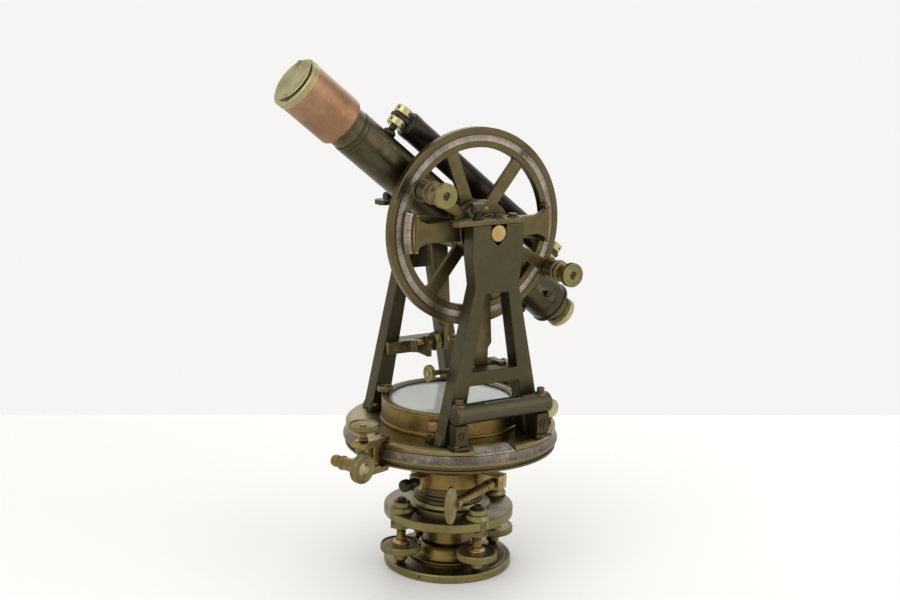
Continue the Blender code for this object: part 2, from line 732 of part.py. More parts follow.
def make_vernier_plate():
    chamfer = 0.8 * MM
    plate = turned(
        "vernier_plate",
        [
            (0, DRUM_BASE + 3 * GAP),
            (INNER_AXIS_RADIUS, DRUM_BASE + 3 * GAP),
            (INNER_AXIS_RADIUS, VERNIER_BOTTOM),
            (VERNIER_RADIUS, VERNIER_BOTTOM),
            (VERNIER_RADIUS, VERNIER_TOP - chamfer),
            (VERNIER_RADIUS - chamfer, VERNIER_TOP),
            (0, VERNIER_TOP),
        ],
        OLIVE_BRONZE,
        WIDE,
    )
    inner = VERNIER_RADIUS - VERNIER_WINDOW_DEPTH
    window = swept(
        "vernier_window",
        [
            (inner, VERNIER_BOTTOM - MM),
            (VERNIER_RADIUS + 2 * MM, VERNIER_BOTTOM - MM),
            (VERNIER_RADIUS + 2 * MM, VERNIER_TOP + MM),
            (inner, VERNIER_TOP + MM),
        ],
        VERNIER_WINDOW_TURN - VERNIER_WINDOW_ANGLE / 2,
        VERNIER_WINDOW_ANGLE,
    )
    cut(plate, window)
    edge = GAP / inner
    swept(
        "vernier_scale",
        [
            (inner + GAP, VERNIER_BOTTOM),
            (VERNIER_RADIUS, VERNIER_BOTTOM),
            (VERNIER_RADIUS, VERNIER_BOTTOM + 0.8 * MM),
            (inner + GAP, VERNIER_TOP - 1.2 * MM),
        ],
        VERNIER_WINDOW_TURN - VERNIER_WINDOW_ANGLE / 2 + edge,
        VERNIER_WINDOW_ANGLE - 2 * edge,
        SILVER,
    )


def make_upper_clamp():
    frame = frame_at("upper_clamp_frame", (0, 0, 0), UPPER_CLAMP_TURN)
    rim = LIMB_RADIUS + GAP
    outer = LIMB_RADIUS + UPPER_CLAMP_REACH
    half = UPPER_CLAMP_WIDTH / 2
    inner = LIMB_RADIUS - UPPER_CLAMP_JAW
    block = slab(
        "upper_clamp_block",
        [
            (inner, DECK),
            (rim, DECK),
            (rim, LIMB_BASE - GAP),
            (inner, LIMB_BASE - GAP),
            (inner, LIMB_BASE - GAP - JAW_THICKNESS),
            (outer, LIMB_BASE - GAP - JAW_THICKNESS),
            (outer, DECK),
            (outer - 5 * MM, DECK + JAW_THICKNESS),
            (inner, DECK + JAW_THICKNESS),
        ],
        -half,
        half,
        AGED_BRASS,
    )
    stem = LIMB_RADIUS + CLAMP_STEM_REACH
    stem_hole = rod("upper_stem_hole", THUMB_ROD_RADIUS + GAP, LIMB_BASE - 10 * MM, DECK + 10 * MM)
    stem_hole.data.transform(Matrix.Translation((stem, 0, 0)))
    tangent_radius = LIMB_RADIUS + UPPER_TANGENT_REACH
    height = (LIMB_BASE + LIMB_TOP) / 2
    tangent_hole = rod("upper_tangent_hole", THUMB_ROD_RADIUS + GAP, -2 * half, 2 * half)
    bake(aim(tangent_hole, (tangent_radius, 0, height), (0, 1, 0)))
    cut(block, stem_hole, tangent_hole)
    hang(block, frame)
    head = DECK + JAW_THICKNESS + CLAMP_HEAD_LIFT
    clamp = milled_screw(
        "upper_clamp_screw",
        MILLED_HEAD_RADIUS,
        head - DECK,
        head - DECK + MILLED_HEAD_THICKNESS,
        THUMB_ROD_RADIUS,
        LIMB_BASE - 7 * MM - DECK,
        head - DECK + MILLED_HEAD_THICKNESS,
        AGED_BRASS,
    )
    clamp.location = (stem, 0, DECK)
    clamp.parent = frame
    tangent = turned(
        "upper_tangent_screw",
        [
            (0, -half - 15 * MM),
            (3.0 * MM, -half - 14.5 * MM),
            (5.2 * MM, -half - 10 * MM),
            (3.0 * MM, -half - 5.5 * MM),
            (THUMB_ROD_RADIUS, -half - 5 * MM),
            (THUMB_ROD_RADIUS, half + 3 * MM),
            (MILLED_HEAD_RADIUS - 1.3 * MM, half + 3 * MM),
            (MILLED_HEAD_RADIUS - 0.5 * MM, half + 3.8 * MM),
            (MILLED_HEAD_RADIUS - 0.5 * MM, half + 7.7 * MM),
            (MILLED_HEAD_RADIUS - 1.3 * MM, half + 8.5 * MM),
            (3.5 * MM, half + 8.5 * MM),
            (3.0 * MM, half + 10 * MM),
            (0, half + 10 * MM),
        ],
        AGED_BRASS,
        SMALL,
    )
    aim(tangent, (tangent_radius, 0, height), (0, 1, 0))
    tangent.parent = frame


# Compass


def make_compass():
    ledge = COMPASS_TOP - GLASS_THICKNESS - 2 * GAP
    floor = DECK + COMPASS_FLOOR
    box_inner = COMPASS_INNER - GLASS_LEDGE
    shell = turned(
        "compass_box",
        [
            (0, DECK),
            (COMPASS_RADIUS + 1.2 * MM, DECK),
            (COMPASS_RADIUS + 1.2 * MM, DECK + 2.0 * MM),
            (COMPASS_RADIUS, floor),
            (COMPASS_RADIUS, COMPASS_TOP),
            (COMPASS_INNER, COMPASS_TOP),
            (COMPASS_INNER, ledge),
            (box_inner, ledge),
            (box_inner, floor),
            (0, floor),
        ],
        AGED_BRASS,
        WIDE,
    )
    glass_edge = COMPASS_INNER - GAP
    turned(
        "compass_glass",
        [
            (0, ledge + GAP),
            (glass_edge, ledge + GAP),
            (glass_edge, ledge + GAP + GLASS_THICKNESS),
            (0, ledge + GAP + GLASS_THICKNESS),
        ],
        GLASS,
        WIDE,
    )
    bezel_base = COMPASS_TOP + GAP
    bezel_top = bezel_base + BEZEL_HEIGHT
    bezel = turned(
        "compass_bezel",
        [
            (COMPASS_RADIUS - BEZEL_WIDTH, bezel_base),
            (COMPASS_RADIUS, bezel_base),
            (COMPASS_RADIUS, bezel_top),
            (COMPASS_RADIUS - BEZEL_WIDTH + MM, bezel_top),
        ],
        DARK_BRONZE,
        WIDE,
    )
    stem = 1.6 * MM
    lifter_place = around(LIFTER_TURN, COMPASS_RADIUS - COMPASS_WALL / 2, 0)
    for target in (shell, bezel):
        hole = rod(f"{target.name}_hole", stem + GAP, COMPASS_TOP - 8 * MM, bezel_top + MM)
        hole.data.transform(Matrix.Translation(lifter_place))
        cut(target, hole)
    head = bezel_top + GAP
    lifter = milled_screw(
        "needle_lifter_screw",
        LIFTER_HEAD_RADIUS,
        head,
        head + 4.2 * MM,
        stem,
        COMPASS_TOP - 7.5 * MM,
        head + 4.2 * MM,
        AGED_BRASS,
    )
    lifter.location = lifter_place
    make_dial(floor + GAP, box_inner - GAP)


def make_dial(base, radius):
    point = DIAL_TOP + NEEDLE_HEIGHT - 0.6 * MM
    turned(
        "compass_dial",
        [
            (0, base),
            (radius, base),
            (radius, base + DIAL_RING_HEIGHT),
            (radius - DIAL_RING_WIDTH, base + DIAL_RING_HEIGHT),
            (radius - DIAL_RING_WIDTH, DIAL_TOP),
            (2.2 * MM, DIAL_TOP),
            (0.5 * MM, point),
            (0, point),
        ],
        DIAL_WHITE,
        WIDE,
    )
    low = DIAL_TOP + NEEDLE_HEIGHT - 1.2 * MM
    tip = radius - DIAL_RING_WIDTH - 1.5 * MM
    half = NEEDLE_WIDTH / 2
    needle = slab("compass_needle", [(-tip, 0), (0, -half), (tip, 0), (0, half)], -0.5 * MM, 0.5 * MM, STEEL)
    needle.data.transform(Matrix.Rotation(math.pi / 2, 4, "X"))
    needle.data.transform(Matrix.Rotation(math.radians(60), 4, "Z"))
    needle.data.transform(Matrix.Translation((0, 0, low + MM)))
    hub = rod("needle_hub", 4.2 * MM, low, low + 3.2 * MM)
    pit = rod("needle_pit", 1.8 * MM, low - MM, low + 1.4 * MM)
    fuse(needle, hub)
    cut(needle, pit)


# Standards and bearings


def leg_line(foot_x, top_x, height):
    share = (height - DECK) / (BLOCK_BOTTOM - DECK)
    return foot_x + (top_x - foot_x) * share


def make_standard(name, side):
    """An A-frame on the vernier plate, side -1 at -Y and 1 at +Y."""
    low, high = sorted((side * STANDARD_INNER, side * STANDARD_OUTER))
    neck = BLOCK_BOTTOM + 20 * MM
    half = [
        (LEG_FOOT_OUTER, DECK),
        (LEG_TOP_OUTER - 1.0 * MM, BLOCK_BOTTOM),
        (BLOCK_HALF_WIDTH, neck),
        (BLOCK_HALF_WIDTH, STANDARD_TOP),
    ]
    outline = half + [(-x, z) for x, z in reversed(half)]
    standard = slab(name, outline, low, high, OLIVE_BRONZE)
    arch = BLOCK_BOTTOM - 6 * MM
    openings = {"upper": (CROSSBAR_TOP, arch), "lower": (DECK - MM, CROSSBAR_BASE)}
    for which, (base, top) in openings.items():
        wide = leg_line(LEG_FOOT_INNER, LEG_TOP_INNER, base)
        narrow = leg_line(LEG_FOOT_INNER, LEG_TOP_INNER, top)
        window = [(wide, base), (narrow, top), (-narrow, top), (-wide, base)]
        cut(standard, slab(f"{name}_{which}_opening", window, low - MM, high + MM))
    seat = PIVOT_RADIUS + GAP
    notch = [
        (seat, STANDARD_TOP + MM),
        (-seat, STANDARD_TOP + MM),
        (-seat, TRUNNION_HEIGHT - seat * (math.sqrt(2) - 1)),
        (0, TRUNNION_HEIGHT - seat * math.sqrt(2)),
        (seat, TRUNNION_HEIGHT - seat * (math.sqrt(2) - 1)),
    ]
    cut(standard, slab(f"{name}_notch", notch, low - MM, high + MM))
    reach = side * (STANDARD_INNER - FOOT_FLANGE_DEPTH)
    flange_low, flange_high = sorted((reach, side * (STANDARD_INNER + 2 * MM)))
    for hand in (-1, 1):
        edge_a, edge_b = sorted((hand * (LEG_FOOT_INNER + 9 * MM), hand * (LEG_FOOT_OUTER + 4 * MM)))
        flange = box(
            f"{name}_flange_{hand}",
            (edge_a, flange_low, DECK),
            (edge_b, flange_high, DECK + FOOT_FLANGE_THICKNESS),
        )
        fuse(standard, flange)
    return standard


def make_clip_lugs(standard):
    """Lugs on the near crossbar, which hold the two screws of the index clip."""
    middle = TAIL_HALF_WIDTH + CLIP_TRAVEL
    spans = {"left": (-middle - 9 * MM, -middle - 3 * MM), "right": (middle + 3 * MM, middle + 9 * MM)}
    for which, (low, high) in spans.items():
        lug = box(
            f"clip_lug_{which}",
            (low, -STANDARD_INNER - 3 * MM, CROSSBAR_BASE + MM),
            (high, CLIP_Y + 4.5 * MM, CLIP_HEIGHT + 5.5 * MM),
        )
        hole = rod(f"clip_hole_{which}", CLIP_ROD_RADIUS + GAP, low - MM, high + MM)
        bake(aim(hole, (0, CLIP_Y, CLIP_HEIGHT), (1, 0, 0)))
        fuse(standard, lug)
        cut(standard, hole)


def make_bearing_cap(name, side):
    low, high = sorted((side * (STANDARD_INNER + 0.5 * MM), side * (STANDARD_OUTER + 0.5 * MM)))
    base = STANDARD_TOP + GAP
    top = base + CAP_THICKNESS
    cap = box(
        name,
        (-BLOCK_HALF_WIDTH - CAP_OVERHANG, low, base),
        (BLOCK_HALF_WIDTH, high, top),
        OLIVE_BRONZE,
    )
    middle = (low + high) / 2
    post = rod(f"{name}_post", 3.0 * MM, top - MM, top + CAP_THUMB_HEIGHT * 0.6)
    post.data.transform(Matrix.Translation((-15 * MM, middle, 0)))
    thumb = box(
        f"{name}_thumb",
        (-20.5 * MM, middle - 2 * MM, top + CAP_THUMB_HEIGHT * 0.4),
        (-9.5 * MM, middle + 2 * MM, top + CAP_THUMB_HEIGHT),
    )
    fuse(cap, post, thumb)


# Levels on the vernier plate


def level_tube(name, radius, length, finish):
    half = length / 2
    lip = 1.2 * MM
    return turned(
        name,
        [
            (0, -half),
            (radius * 0.75, -half),
            (radius, -half + lip * 2),
            (radius, half - lip * 2),
            (radius * 0.75, half),
            (0, half),
        ],
        finish,
        SMALL,
    )


def make_plate_levels():
    front_y = -STANDARD_OUTER - PLATE_LEVEL_RADIUS - 0.7 * MM
    front_z = VERNIER_TOP + FRONT_LEVEL_HEIGHT
    front = level_tube("plate_level_front", PLATE_LEVEL_RADIUS, FRONT_LEVEL_LENGTH, OLIVE_BRONZE)
    bake(aim(front, (MM, front_y, front_z), (1, 0, 0)))
    half = LEVEL_POST_SIZE / 2
    for number, hand in enumerate((-1, 1)):
        x = hand * (FRONT_LEVEL_LENGTH / 2 - half - MM)
        post = box(
            f"front_post_{number}",
            (x - half, front_y - half, DECK),
            (x + half, front_y + half, front_z - PLATE_LEVEL_RADIUS * 0.5),
        )
        nut = rod(f"front_nut_{number}", 3.2 * MM, front_z, front_z + PLATE_LEVEL_RADIUS + 4 * MM)
        nut.data.transform(Matrix.Translation((x, front_y, 0)))
        fuse(front, post, nut)
    side_x = COMPASS_RADIUS + SIDE_LEVEL_RADIUS + 2.5 * MM
    side_z = VERNIER_TOP + SIDE_LEVEL_HEIGHT
    side = level_tube("plate_level_side", SIDE_LEVEL_RADIUS, SIDE_LEVEL_LENGTH, OLIVE_BRONZE)
    bake(aim(side, (side_x, -10 * MM, side_z), (0, 1, 0)))
    for number, hand in enumerate((-1, 1)):
        y = -10 * MM + hand * (SIDE_LEVEL_LENGTH / 2 - 9 * MM)
        post = box(
            f"side_post_{number}",
            (side_x - half, y - half, DECK),
            (side_x + half, y + half, side_z - SIDE_LEVEL_RADIUS * 0.5),
        )
        nut = rod(f"side_nut_{number}", 3.0 * MM, side_z, side_z + SIDE_LEVEL_RADIUS + 4 * MM)
        nut.data.transform(Matrix.Translation((side_x, y, 0)))
        fuse(side, post, nut)


# Telescope. Its pieces are made about the trunnion and hang from one tilted frame.


def along_tube(obj, place=0.0):
    """Lays a lathe shape's Z along the telescope's X, at a distance from the trunnion."""
    return bake(aim(obj, (place, 0, 0), (1, 0, 0)))


def make_telescope(frame):
    tube = turned(
        "telescope_tube",
        [
            (TUBE_BORE, -TUBE_FRONT),
            (TUBE_RADIUS, -TUBE_FRONT),
            (TUBE_RADIUS, TUBE_REAR),
            (TUBE_BORE, TUBE_REAR),
        ],
        DARK_BRONZE,
        ROUND,
    )
    along_tube(tube)
    ring = make_reticle()
    for axis, direction in {"upright": (0, 0, 1), "level": (0, 1, 0)}.items():
        hole = rod(f"reticle_hole_{axis}", CAPSTAN_RADIUS + GAP, -25 * MM, 25 * MM)
        bake(aim(hole, (RETICLE_PLACE, 0, 0), direction))
        cut(tube, hole)
    focus_hole = rod("focus_hole", 2.5 * MM + GAP, 0, 25 * MM)
    bake(aim(focus_hole, (-FOCUS_PLACE, 0, 0), (0, 1, 0)))
    cut(tube, focus_hole)
    flange_base = TUBE_REAR + GAP
    flange = turned(
        "eyepiece_flange",
        [
            (EYE_TUBE_RADIUS + GAP, flange_base),
            (FLANGE_RADIUS, flange_base),
            (FLANGE_RADIUS, flange_base + FLANGE_THICKNESS * 0.5),
            (FLANGE_RADIUS - MM, flange_base + FLANGE_THICKNESS),
            (EYE_TUBE_RADIUS + GAP, flange_base + FLANGE_THICKNESS),
        ],
        DARK_BRONZE,
        ROUND,
    )
    along_tube(flange)
    for piece in (tube, ring, flange):
        hang(piece, frame)
    make_objective(frame)
    make_eyepiece(frame)
    make_focus(frame)


def make_reticle():
    outer = TUBE_BORE - GAP
    ring = turned(
        "reticle_ring",
        [(9 * MM, -2.5 * MM), (outer, -2.5 * MM), (outer, 2.5 * MM), (9 * MM, 2.5 * MM)],
        AGED_BRASS,
        SMALL,
    )
    along_tube(ring, RETICLE_PLACE)
    for number in range(4):
        spoke = turned(
            f"capstan_{number}",
            [
                (0, 10.5 * MM),
                (CAPSTAN_RADIUS, 10.5 * MM),
                (CAPSTAN_RADIUS, TUBE_RADIUS + MM),
                (2.8 * MM, TUBE_RADIUS + MM),
                (2.8 * MM, TUBE_RADIUS + 3.6 * MM),
                (0, TUBE_RADIUS + 3.6 * MM),
            ],
            None,
            12,
        )
        angle = math.pi / 2 * number
        bake(aim(spoke, (RETICLE_PLACE, 0, 0), (0, math.cos(angle), math.sin(angle))))
        fuse(ring, spoke)
    return ring


def make_objective(frame):
    joint = TUBE_FRONT + GAP
    front = joint + CELL_LENGTH
    seat = CELL_RADIUS - LENS_SEAT
    lens_back = front - LENS_THICKNESS - 2 * GAP
    slide = turned(
        "objective_slide",
        [
            (CELL_BORE, -joint + SLIDE_LENGTH),
            (CELL_BORE, -lens_back),
            (seat, -lens_back),
            (seat, -front),
            (CELL_RADIUS, -front),
            (CELL_RADIUS, -joint),
            (SLIDE_RADIUS, -joint),
            (SLIDE_RADIUS, -joint + SLIDE_LENGTH),
        ],
        OLIVE_BRONZE,
        ROUND,
    )
    lens_front = front - GAP
    lens = turned(
        "objective_lens",
        [
            (0, -lens_front),
            (seat * 0.6, -lens_front + 0.35 * MM),
            (seat - GAP, -lens_front + MM),
            (seat - GAP, -lens_back - GAP),
            (0, -lens_back - GAP),
        ],
        GLASS,
        ROUND,
    )
    shade_bore = CELL_RADIUS + GAP
    shade_outer = shade_bore + SHADE_WALL
    shade_rear = joint + SHADE_SETBACK
    shade_front = shade_rear + SHADE_LENGTH
    shade = turned(
        "dew_shade",
        [
            (shade_bore, -shade_front),
            (shade_outer, -shade_front),
            (shade_outer, -shade_rear - 1.6 * MM),
            (shade_outer - 1.4 * MM, -shade_rear),
            (shade_bore, -shade_rear),
        ],
        COPPER,
        ROUND,
    )
    seat_face = shade_front + GAP
    cap_front = seat_face + CAP_DEPTH
    plug = shade_bore - GAP
    cap = turned(
        "objective_cap",
        [
            (0, -cap_front),
            (CAP_RADIUS - 1.2 * MM, -cap_front),
            (CAP_RADIUS, -cap_front + 1.2 * MM),
            (CAP_RADIUS, -seat_face),
            (plug, -seat_face),
            (plug, -seat_face + CAP_PLUG_LENGTH),
            (plug - CAP_WALL, -seat_face + CAP_PLUG_LENGTH),
            (plug - CAP_WALL, -cap_front + CAP_WALL * 1.6),
            (0, -cap_front + CAP_WALL * 1.6),
        ],
        PALE_BRASS,
        ROUND,
    )
    for piece in (slide, lens, shade, cap):
        hang(along_tube(piece), frame)


def make_eyepiece(frame):
    start = TUBE_REAR - EYE_TUBE_INSET
    end = start + EYE_TUBE_LENGTH
    tube = turned(
        "eyepiece_tube",
        [(EYE_TUBE_BORE, start), (EYE_TUBE_RADIUS, start), (EYE_TUBE_RADIUS, end), (EYE_TUBE_BORE, end)],
        OLIVE_BRONZE,
        SMALL,
    )
    cup_bore = EYE_TUBE_RADIUS + GAP
    cup_outer = cup_bore + EYECUP_WALL
    cup_end = end + GAP + 3.6 * MM
    cup_start = cup_end - EYECUP_LENGTH
    cup = turned(
        "eyecup",
        [
            (cup_bore, cup_start),
            (cup_outer, cup_start),
            (cup_outer, cup_end - 1.2 * MM),
            (cup_outer - 1.5 * MM, cup_end),
            (EYE_HOLE_RADIUS + 2 * MM, cup_end),
            (EYE_HOLE_RADIUS, cup_end - 1.5 * MM),
            (EYE_HOLE_RADIUS, end + GAP),
            (cup_bore, end + GAP),
        ],
        PALE_BRASS,
        SMALL,
    )
    lens = turned(
        "eye_lens",
        [
            (0, end - 6 * MM),
            (EYE_TUBE_BORE - GAP, end - 5 * MM),
            (EYE_TUBE_BORE - GAP, end - 2.5 * MM),
            (0, end - 1.5 * MM),
        ],
        GLASS,
        SMALL,
    )
    for piece in (tube, cup, lens):
        hang(along_tube(piece), frame)


def make_focus(frame):
    knob = milled_screw(
        "focus_knob",
        FOCUS_HEAD_RADIUS,
        TUBE_RADIUS + MM,
        TUBE_RADIUS + MM + FOCUS_HEAD_THICKNESS,
        2.5 * MM,
        TUBE_BORE + 2 * GAP,
        TUBE_RADIUS + MM + FOCUS_HEAD_THICKNESS,
        AGED_BRASS,
    )
    knob.parent = aim(frame_at("focus_frame", (0, 0, 0)), (-FOCUS_PLACE, 0, 0), (0, 1, 0))
    knob.parent.parent = frame


def make_tube_level(frame):
    level = level_tube("telescope_level", TUBE_LEVEL_RADIUS, 2 * TUBE_LEVEL_HALF_LENGTH, BLACK)
    bake(aim(level, (0, 0, TUBE_LEVEL_LIFT), (1, 0, 0)))
    stud = TUBE_LEVEL_HALF_LENGTH + LEVEL_LUG_LENGTH * 0.55
    bottom = TUBE_LEVEL_LIFT - LEVEL_LUG_THICKNESS / 2
    top = bottom + LEVEL_LUG_THICKNESS
    for name, hand in {"front": -1, "rear": 1}.items():
        near, far = sorted(
            (hand * (TUBE_LEVEL_HALF_LENGTH - MM), hand * (TUBE_LEVEL_HALF_LENGTH + LEVEL_LUG_LENGTH))
        )
        lug = box(f"level_lug_{name}", (near, -5 * MM, bottom), (far, 5 * MM, top))
        hole = rod(f"level_hole_{name}", LEVEL_STUD_RADIUS + GAP, bottom - MM, top + MM)
        hole.data.transform(Matrix.Translation((hand * stud, 0, 0)))
        fuse(level, lug)
        cut(level, hole)
        post = turned(
            f"level_post_{name}",
            [
                (0, TUBE_RADIUS * 0.85),
                (LEVEL_SADDLE_RADIUS, TUBE_RADIUS * 0.85),
                (LEVEL_SADDLE_RADIUS, TUBE_RADIUS + 2.0 * MM),
                (LEVEL_STUD_RADIUS, TUBE_RADIUS + 4.0 * MM),
                (LEVEL_STUD_RADIUS, bottom - GAP - LEVEL_NUT_HEIGHT),
                (LEVEL_NUT_RADIUS, bottom - GAP - LEVEL_NUT_HEIGHT),
                (LEVEL_NUT_RADIUS, bottom - GAP),
                (LEVEL_STUD_RADIUS, bottom - GAP),
                (LEVEL_STUD_RADIUS, top + GAP),
                (LEVEL_NUT_RADIUS, top + GAP),
                (LEVEL_NUT_RADIUS, top + GAP + LEVEL_NUT_HEIGHT),
                (0, top + GAP + LEVEL_NUT_HEIGHT),
            ],
            PALE_BRASS,
            SMALL,
        )
        post.data.transform(Matrix.Translation((hand * stud, 0, 0)))
        saddle = rod(f"saddle_{name}", TUBE_RADIUS + GAP, -12 * MM, 12 * MM, None, ROUND)
        along_tube(saddle, hand * stud)
        cut(post, saddle)
        hang(post, frame)
    hang(level, frame)


def make_trunnion(frame):
    shoulder = STANDARD_INNER - GAP
    cone = CIRCLE_INNER_FACE - GAP
    half = [
        (HUB_RADIUS, HUB_HALF_WIDTH),
        (AXIS_RADIUS, cone),
        (AXIS_RADIUS, shoulder),
        (PIVOT_RADIUS, shoulder),
        (PIVOT_RADIUS, STANDARD_OUTER),
        (0, STANDARD_OUTER),
    ]
    outline = [(r, -y) for r, y in reversed(half)] + half
    axis = turned("trunnion_axis", outline, BRIGHT_BRASS, 36)
    bake(aim(axis, (0, 0, 0), (0, 1, 0)))
    bore = rod("trunnion_bore", TUBE_RADIUS + GAP, -2 * HUB_RADIUS, 2 * HUB_RADIUS, None, ROUND)
    along_tube(bore)
    cut(axis, bore)
    hang(axis, frame)


# Vertical circle, index and magnifiers


def upright(obj, place_y=0.0):
    """Turns a lathe shape's Z to -Y."""
    return bake(aim(obj, (0, place_y, 0), (0, -1, 0)))


def disc(name, radius, near, far, finish=None, bore=0.0, steps=ROUND):
    """A disc or ring about the Y axis, between two distances along it."""
    low, high = sorted((-near, -far))
    if bore:
        outline = [(bore, low), (radius, low), (radius, high), (bore, high)]
    else:
        outline = [(0, low), (radius, low), (radius, high), (0, high)]
    return upright(turned(name, outline, finish, steps))


def make_vertical_circle(frame):
    back = -CIRCLE_INNER_FACE
    inner = CIRCLE_RADIUS - CIRCLE_RIM_WIDTH
    circle = disc("vertical_circle", CIRCLE_RADIUS, back, CIRCLE_FACE, OLIVE_BRONZE, inner, WIDE + TINY)
    middle = (back + CIRCLE_FACE) / 2
    for number in range(3):
        spoke = box(
            f"circle_spoke_{number}",
            (-inner - 4 * MM, middle - SPOKE_THICKNESS / 2, -SPOKE_WIDTH / 2),
            (inner + 4 * MM, middle + SPOKE_THICKNESS / 2, SPOKE_WIDTH / 2),
        )
        spoke.data.transform(Matrix.Rotation(math.radians(30 + 60 * number), 4, "Y"))
        fuse(circle, spoke)
    fuse(circle, disc("circle_hub", CIRCLE_HUB_RADIUS, back, CIRCLE_FACE, None, 0.0, ROUND))
    cut(circle, disc("circle_bore", AXIS_BORE, back + MM, CIRCLE_FACE - MM, None, 0.0, SMALL))
    hang(circle, frame)


def make_index(frame):
    index = disc("index_frame", INDEX_HUB_RADIUS, INDEX_BACK, INDEX_FRONT, OLIVE_BRONZE, 0.0, ROUND)
    tip = INDEX_REACH - INDEX_PLATE_WIDTH
    arm = box(
        "index_arm",
        (-tip - MM, INDEX_FRONT, -INDEX_ARM_HALF_HEIGHT),
        (tip + MM, INDEX_BACK, INDEX_ARM_HALF_HEIGHT),
    )
    fuse(index, arm)
    for number, hand in enumerate((-1, 1)):
        near, far = sorted((hand * tip, hand * INDEX_REACH))
        plate = box(
            f"index_plate_{number}",
            (near, INDEX_FRONT, -INDEX_PLATE_HALF_HEIGHT),
            (far, INDEX_BACK, INDEX_PLATE_HALF_HEIGHT),
        )
        fuse(index, plate)
    waist = TAIL_LENGTH - 22 * MM
    tail = slab(
        "index_tail",
        [
            (TAIL_HALF_WIDTH, -INDEX_HUB_RADIUS * 0.8),
            (TAIL_HALF_WIDTH * 1.5, -waist),
            (TAIL_HALF_WIDTH, -waist - 3 * MM),
            (TAIL_HALF_WIDTH, -TAIL_LENGTH),
            (-TAIL_HALF_WIDTH, -TAIL_LENGTH),
            (-TAIL_HALF_WIDTH, -waist - 3 * MM),
            (-TAIL_HALF_WIDTH * 1.5, -waist),
            (-TAIL_HALF_WIDTH, -INDEX_HUB_RADIUS * 0.8),
        ],
        INDEX_FRONT,
        INDEX_BACK,
    )
    fuse(index, tail)
    cut(index, disc("index_bore", AXIS_BORE, INDEX_BACK + MM, INDEX_FRONT - MM, None, 0.0, SMALL))
    hang(index, frame)


def make_clip_screws():
    tip = TAIL_HALF_WIDTH + CLIP_TRAVEL
    head = 4.0 * MM
    left = milled_screw(
        "clip_screw_left",
        CLIP_HEAD_RADIUS,
        CLIP_LEFT_REACH - tip - head,
        CLIP_LEFT_REACH - tip,
        CLIP_ROD_RADIUS,
        0,
        CLIP_LEFT_REACH - tip,
        AGED_BRASS,
    )
    aim(left, (-tip, CLIP_Y, CLIP_HEIGHT), (-1, 0, 0))
    ball = 4.4 * MM
    centre = CLIP_RIGHT_REACH - tip - ball
    right = turned(
        "clip_screw_right",
        [(0, 0), (CLIP_ROD_RADIUS, 0), (CLIP_ROD_RADIUS, centre - ball * 0.85)]
        + arc(ball, centre, -ball * 0.8, ball * 0.8, 5)
        + [(0, centre + ball)],
        PALE_BRASS,
        SMALL,
    )
    aim(right, (tip, CLIP_Y, CLIP_HEIGHT), (1, 0, 0))


def arm_outline(reach, eye, half, steps=10):
    """A bar with a round eye at each end, as (x, z) points."""
    first = math.pi - math.asin(half / eye)
    points = []
    for hand in (1, -1):
        for step in range(steps + 1):
            angle = -first + 2 * first * step / steps
            points.append((hand * (reach + eye * math.cos(angle)), hand * eye * math.sin(angle)))
    return points


def make_magnifiers(frame):
    back = INDEX_FRONT - 1.7 * MM
    front = back - MAGNIFIER_BAR_THICKNESS
    sleeve = MAGNIFIER_BARREL_RADIUS + GAP
    outline = arm_outline(MAGNIFIER_REACH, sleeve + 2.6 * MM, MAGNIFIER_BAR_WIDTH / 2)
    arm = slab("magnifier_arm", outline, front, back, OLIVE_BRONZE)
    fuse(arm, disc("magnifier_hub", AXIS_BORE + 4 * MM, back + MM * 0.5, front - MM * 0.5, None))
    for name, hand in {"left": -1, "right": 1}.items():
        hole = disc(f"magnifier_hole_{name}", sleeve, back + MM, front - MM, None, 0.0, SMALL)
        hole.data.transform(Matrix.Translation((hand * MAGNIFIER_REACH, 0, 0)))
        cut(arm, hole)
        face = front - GAP
        out = MAGNIFIER_LENGTH
        flange = back - face + MAGNIFIER_SLEEVE
        lens = turned(
            f"magnifier_{name}",
            [
                (0, 0),
                (MAGNIFIER_BARREL_RADIUS, 0),
                (MAGNIFIER_BARREL_RADIUS, back - face),
                (7.2 * MM, back - face),
                (7.2 * MM, flange),
                (8.5 * MM, flange),
                (8.5 * MM, flange + 2.2 * MM),
                (6.4 * MM, flange + 3.0 * MM),
                (6.4 * MM, out - 6.5 * MM),
                (MAGNIFIER_EYE_RADIUS, out - 5.5 * MM),
                (MAGNIFIER_EYE_RADIUS, out - 0.8 * MM),
                (MAGNIFIER_EYE_RADIUS - 0.8 * MM, out),
                (3.2 * MM, out),
                (2.2 * MM, out - 2 * MM),
                (0, out - 2 * MM),
            ],
            OLIVE_BRONZE,
            SMALL,
        )
        holder = frame_at(f"magnifier_seat_{name}", (hand * MAGNIFIER_REACH, back, 0))
        aim(lens, (0, 0, 0), (0, -1, 0))
        lens.parent = holder
        holder.parent = frame
    cut(arm, disc("magnifier_bore", AXIS_BORE, back + MM, front - MM, None, 0.0, SMALL))
    hang(arm, frame)


# Axis clamp


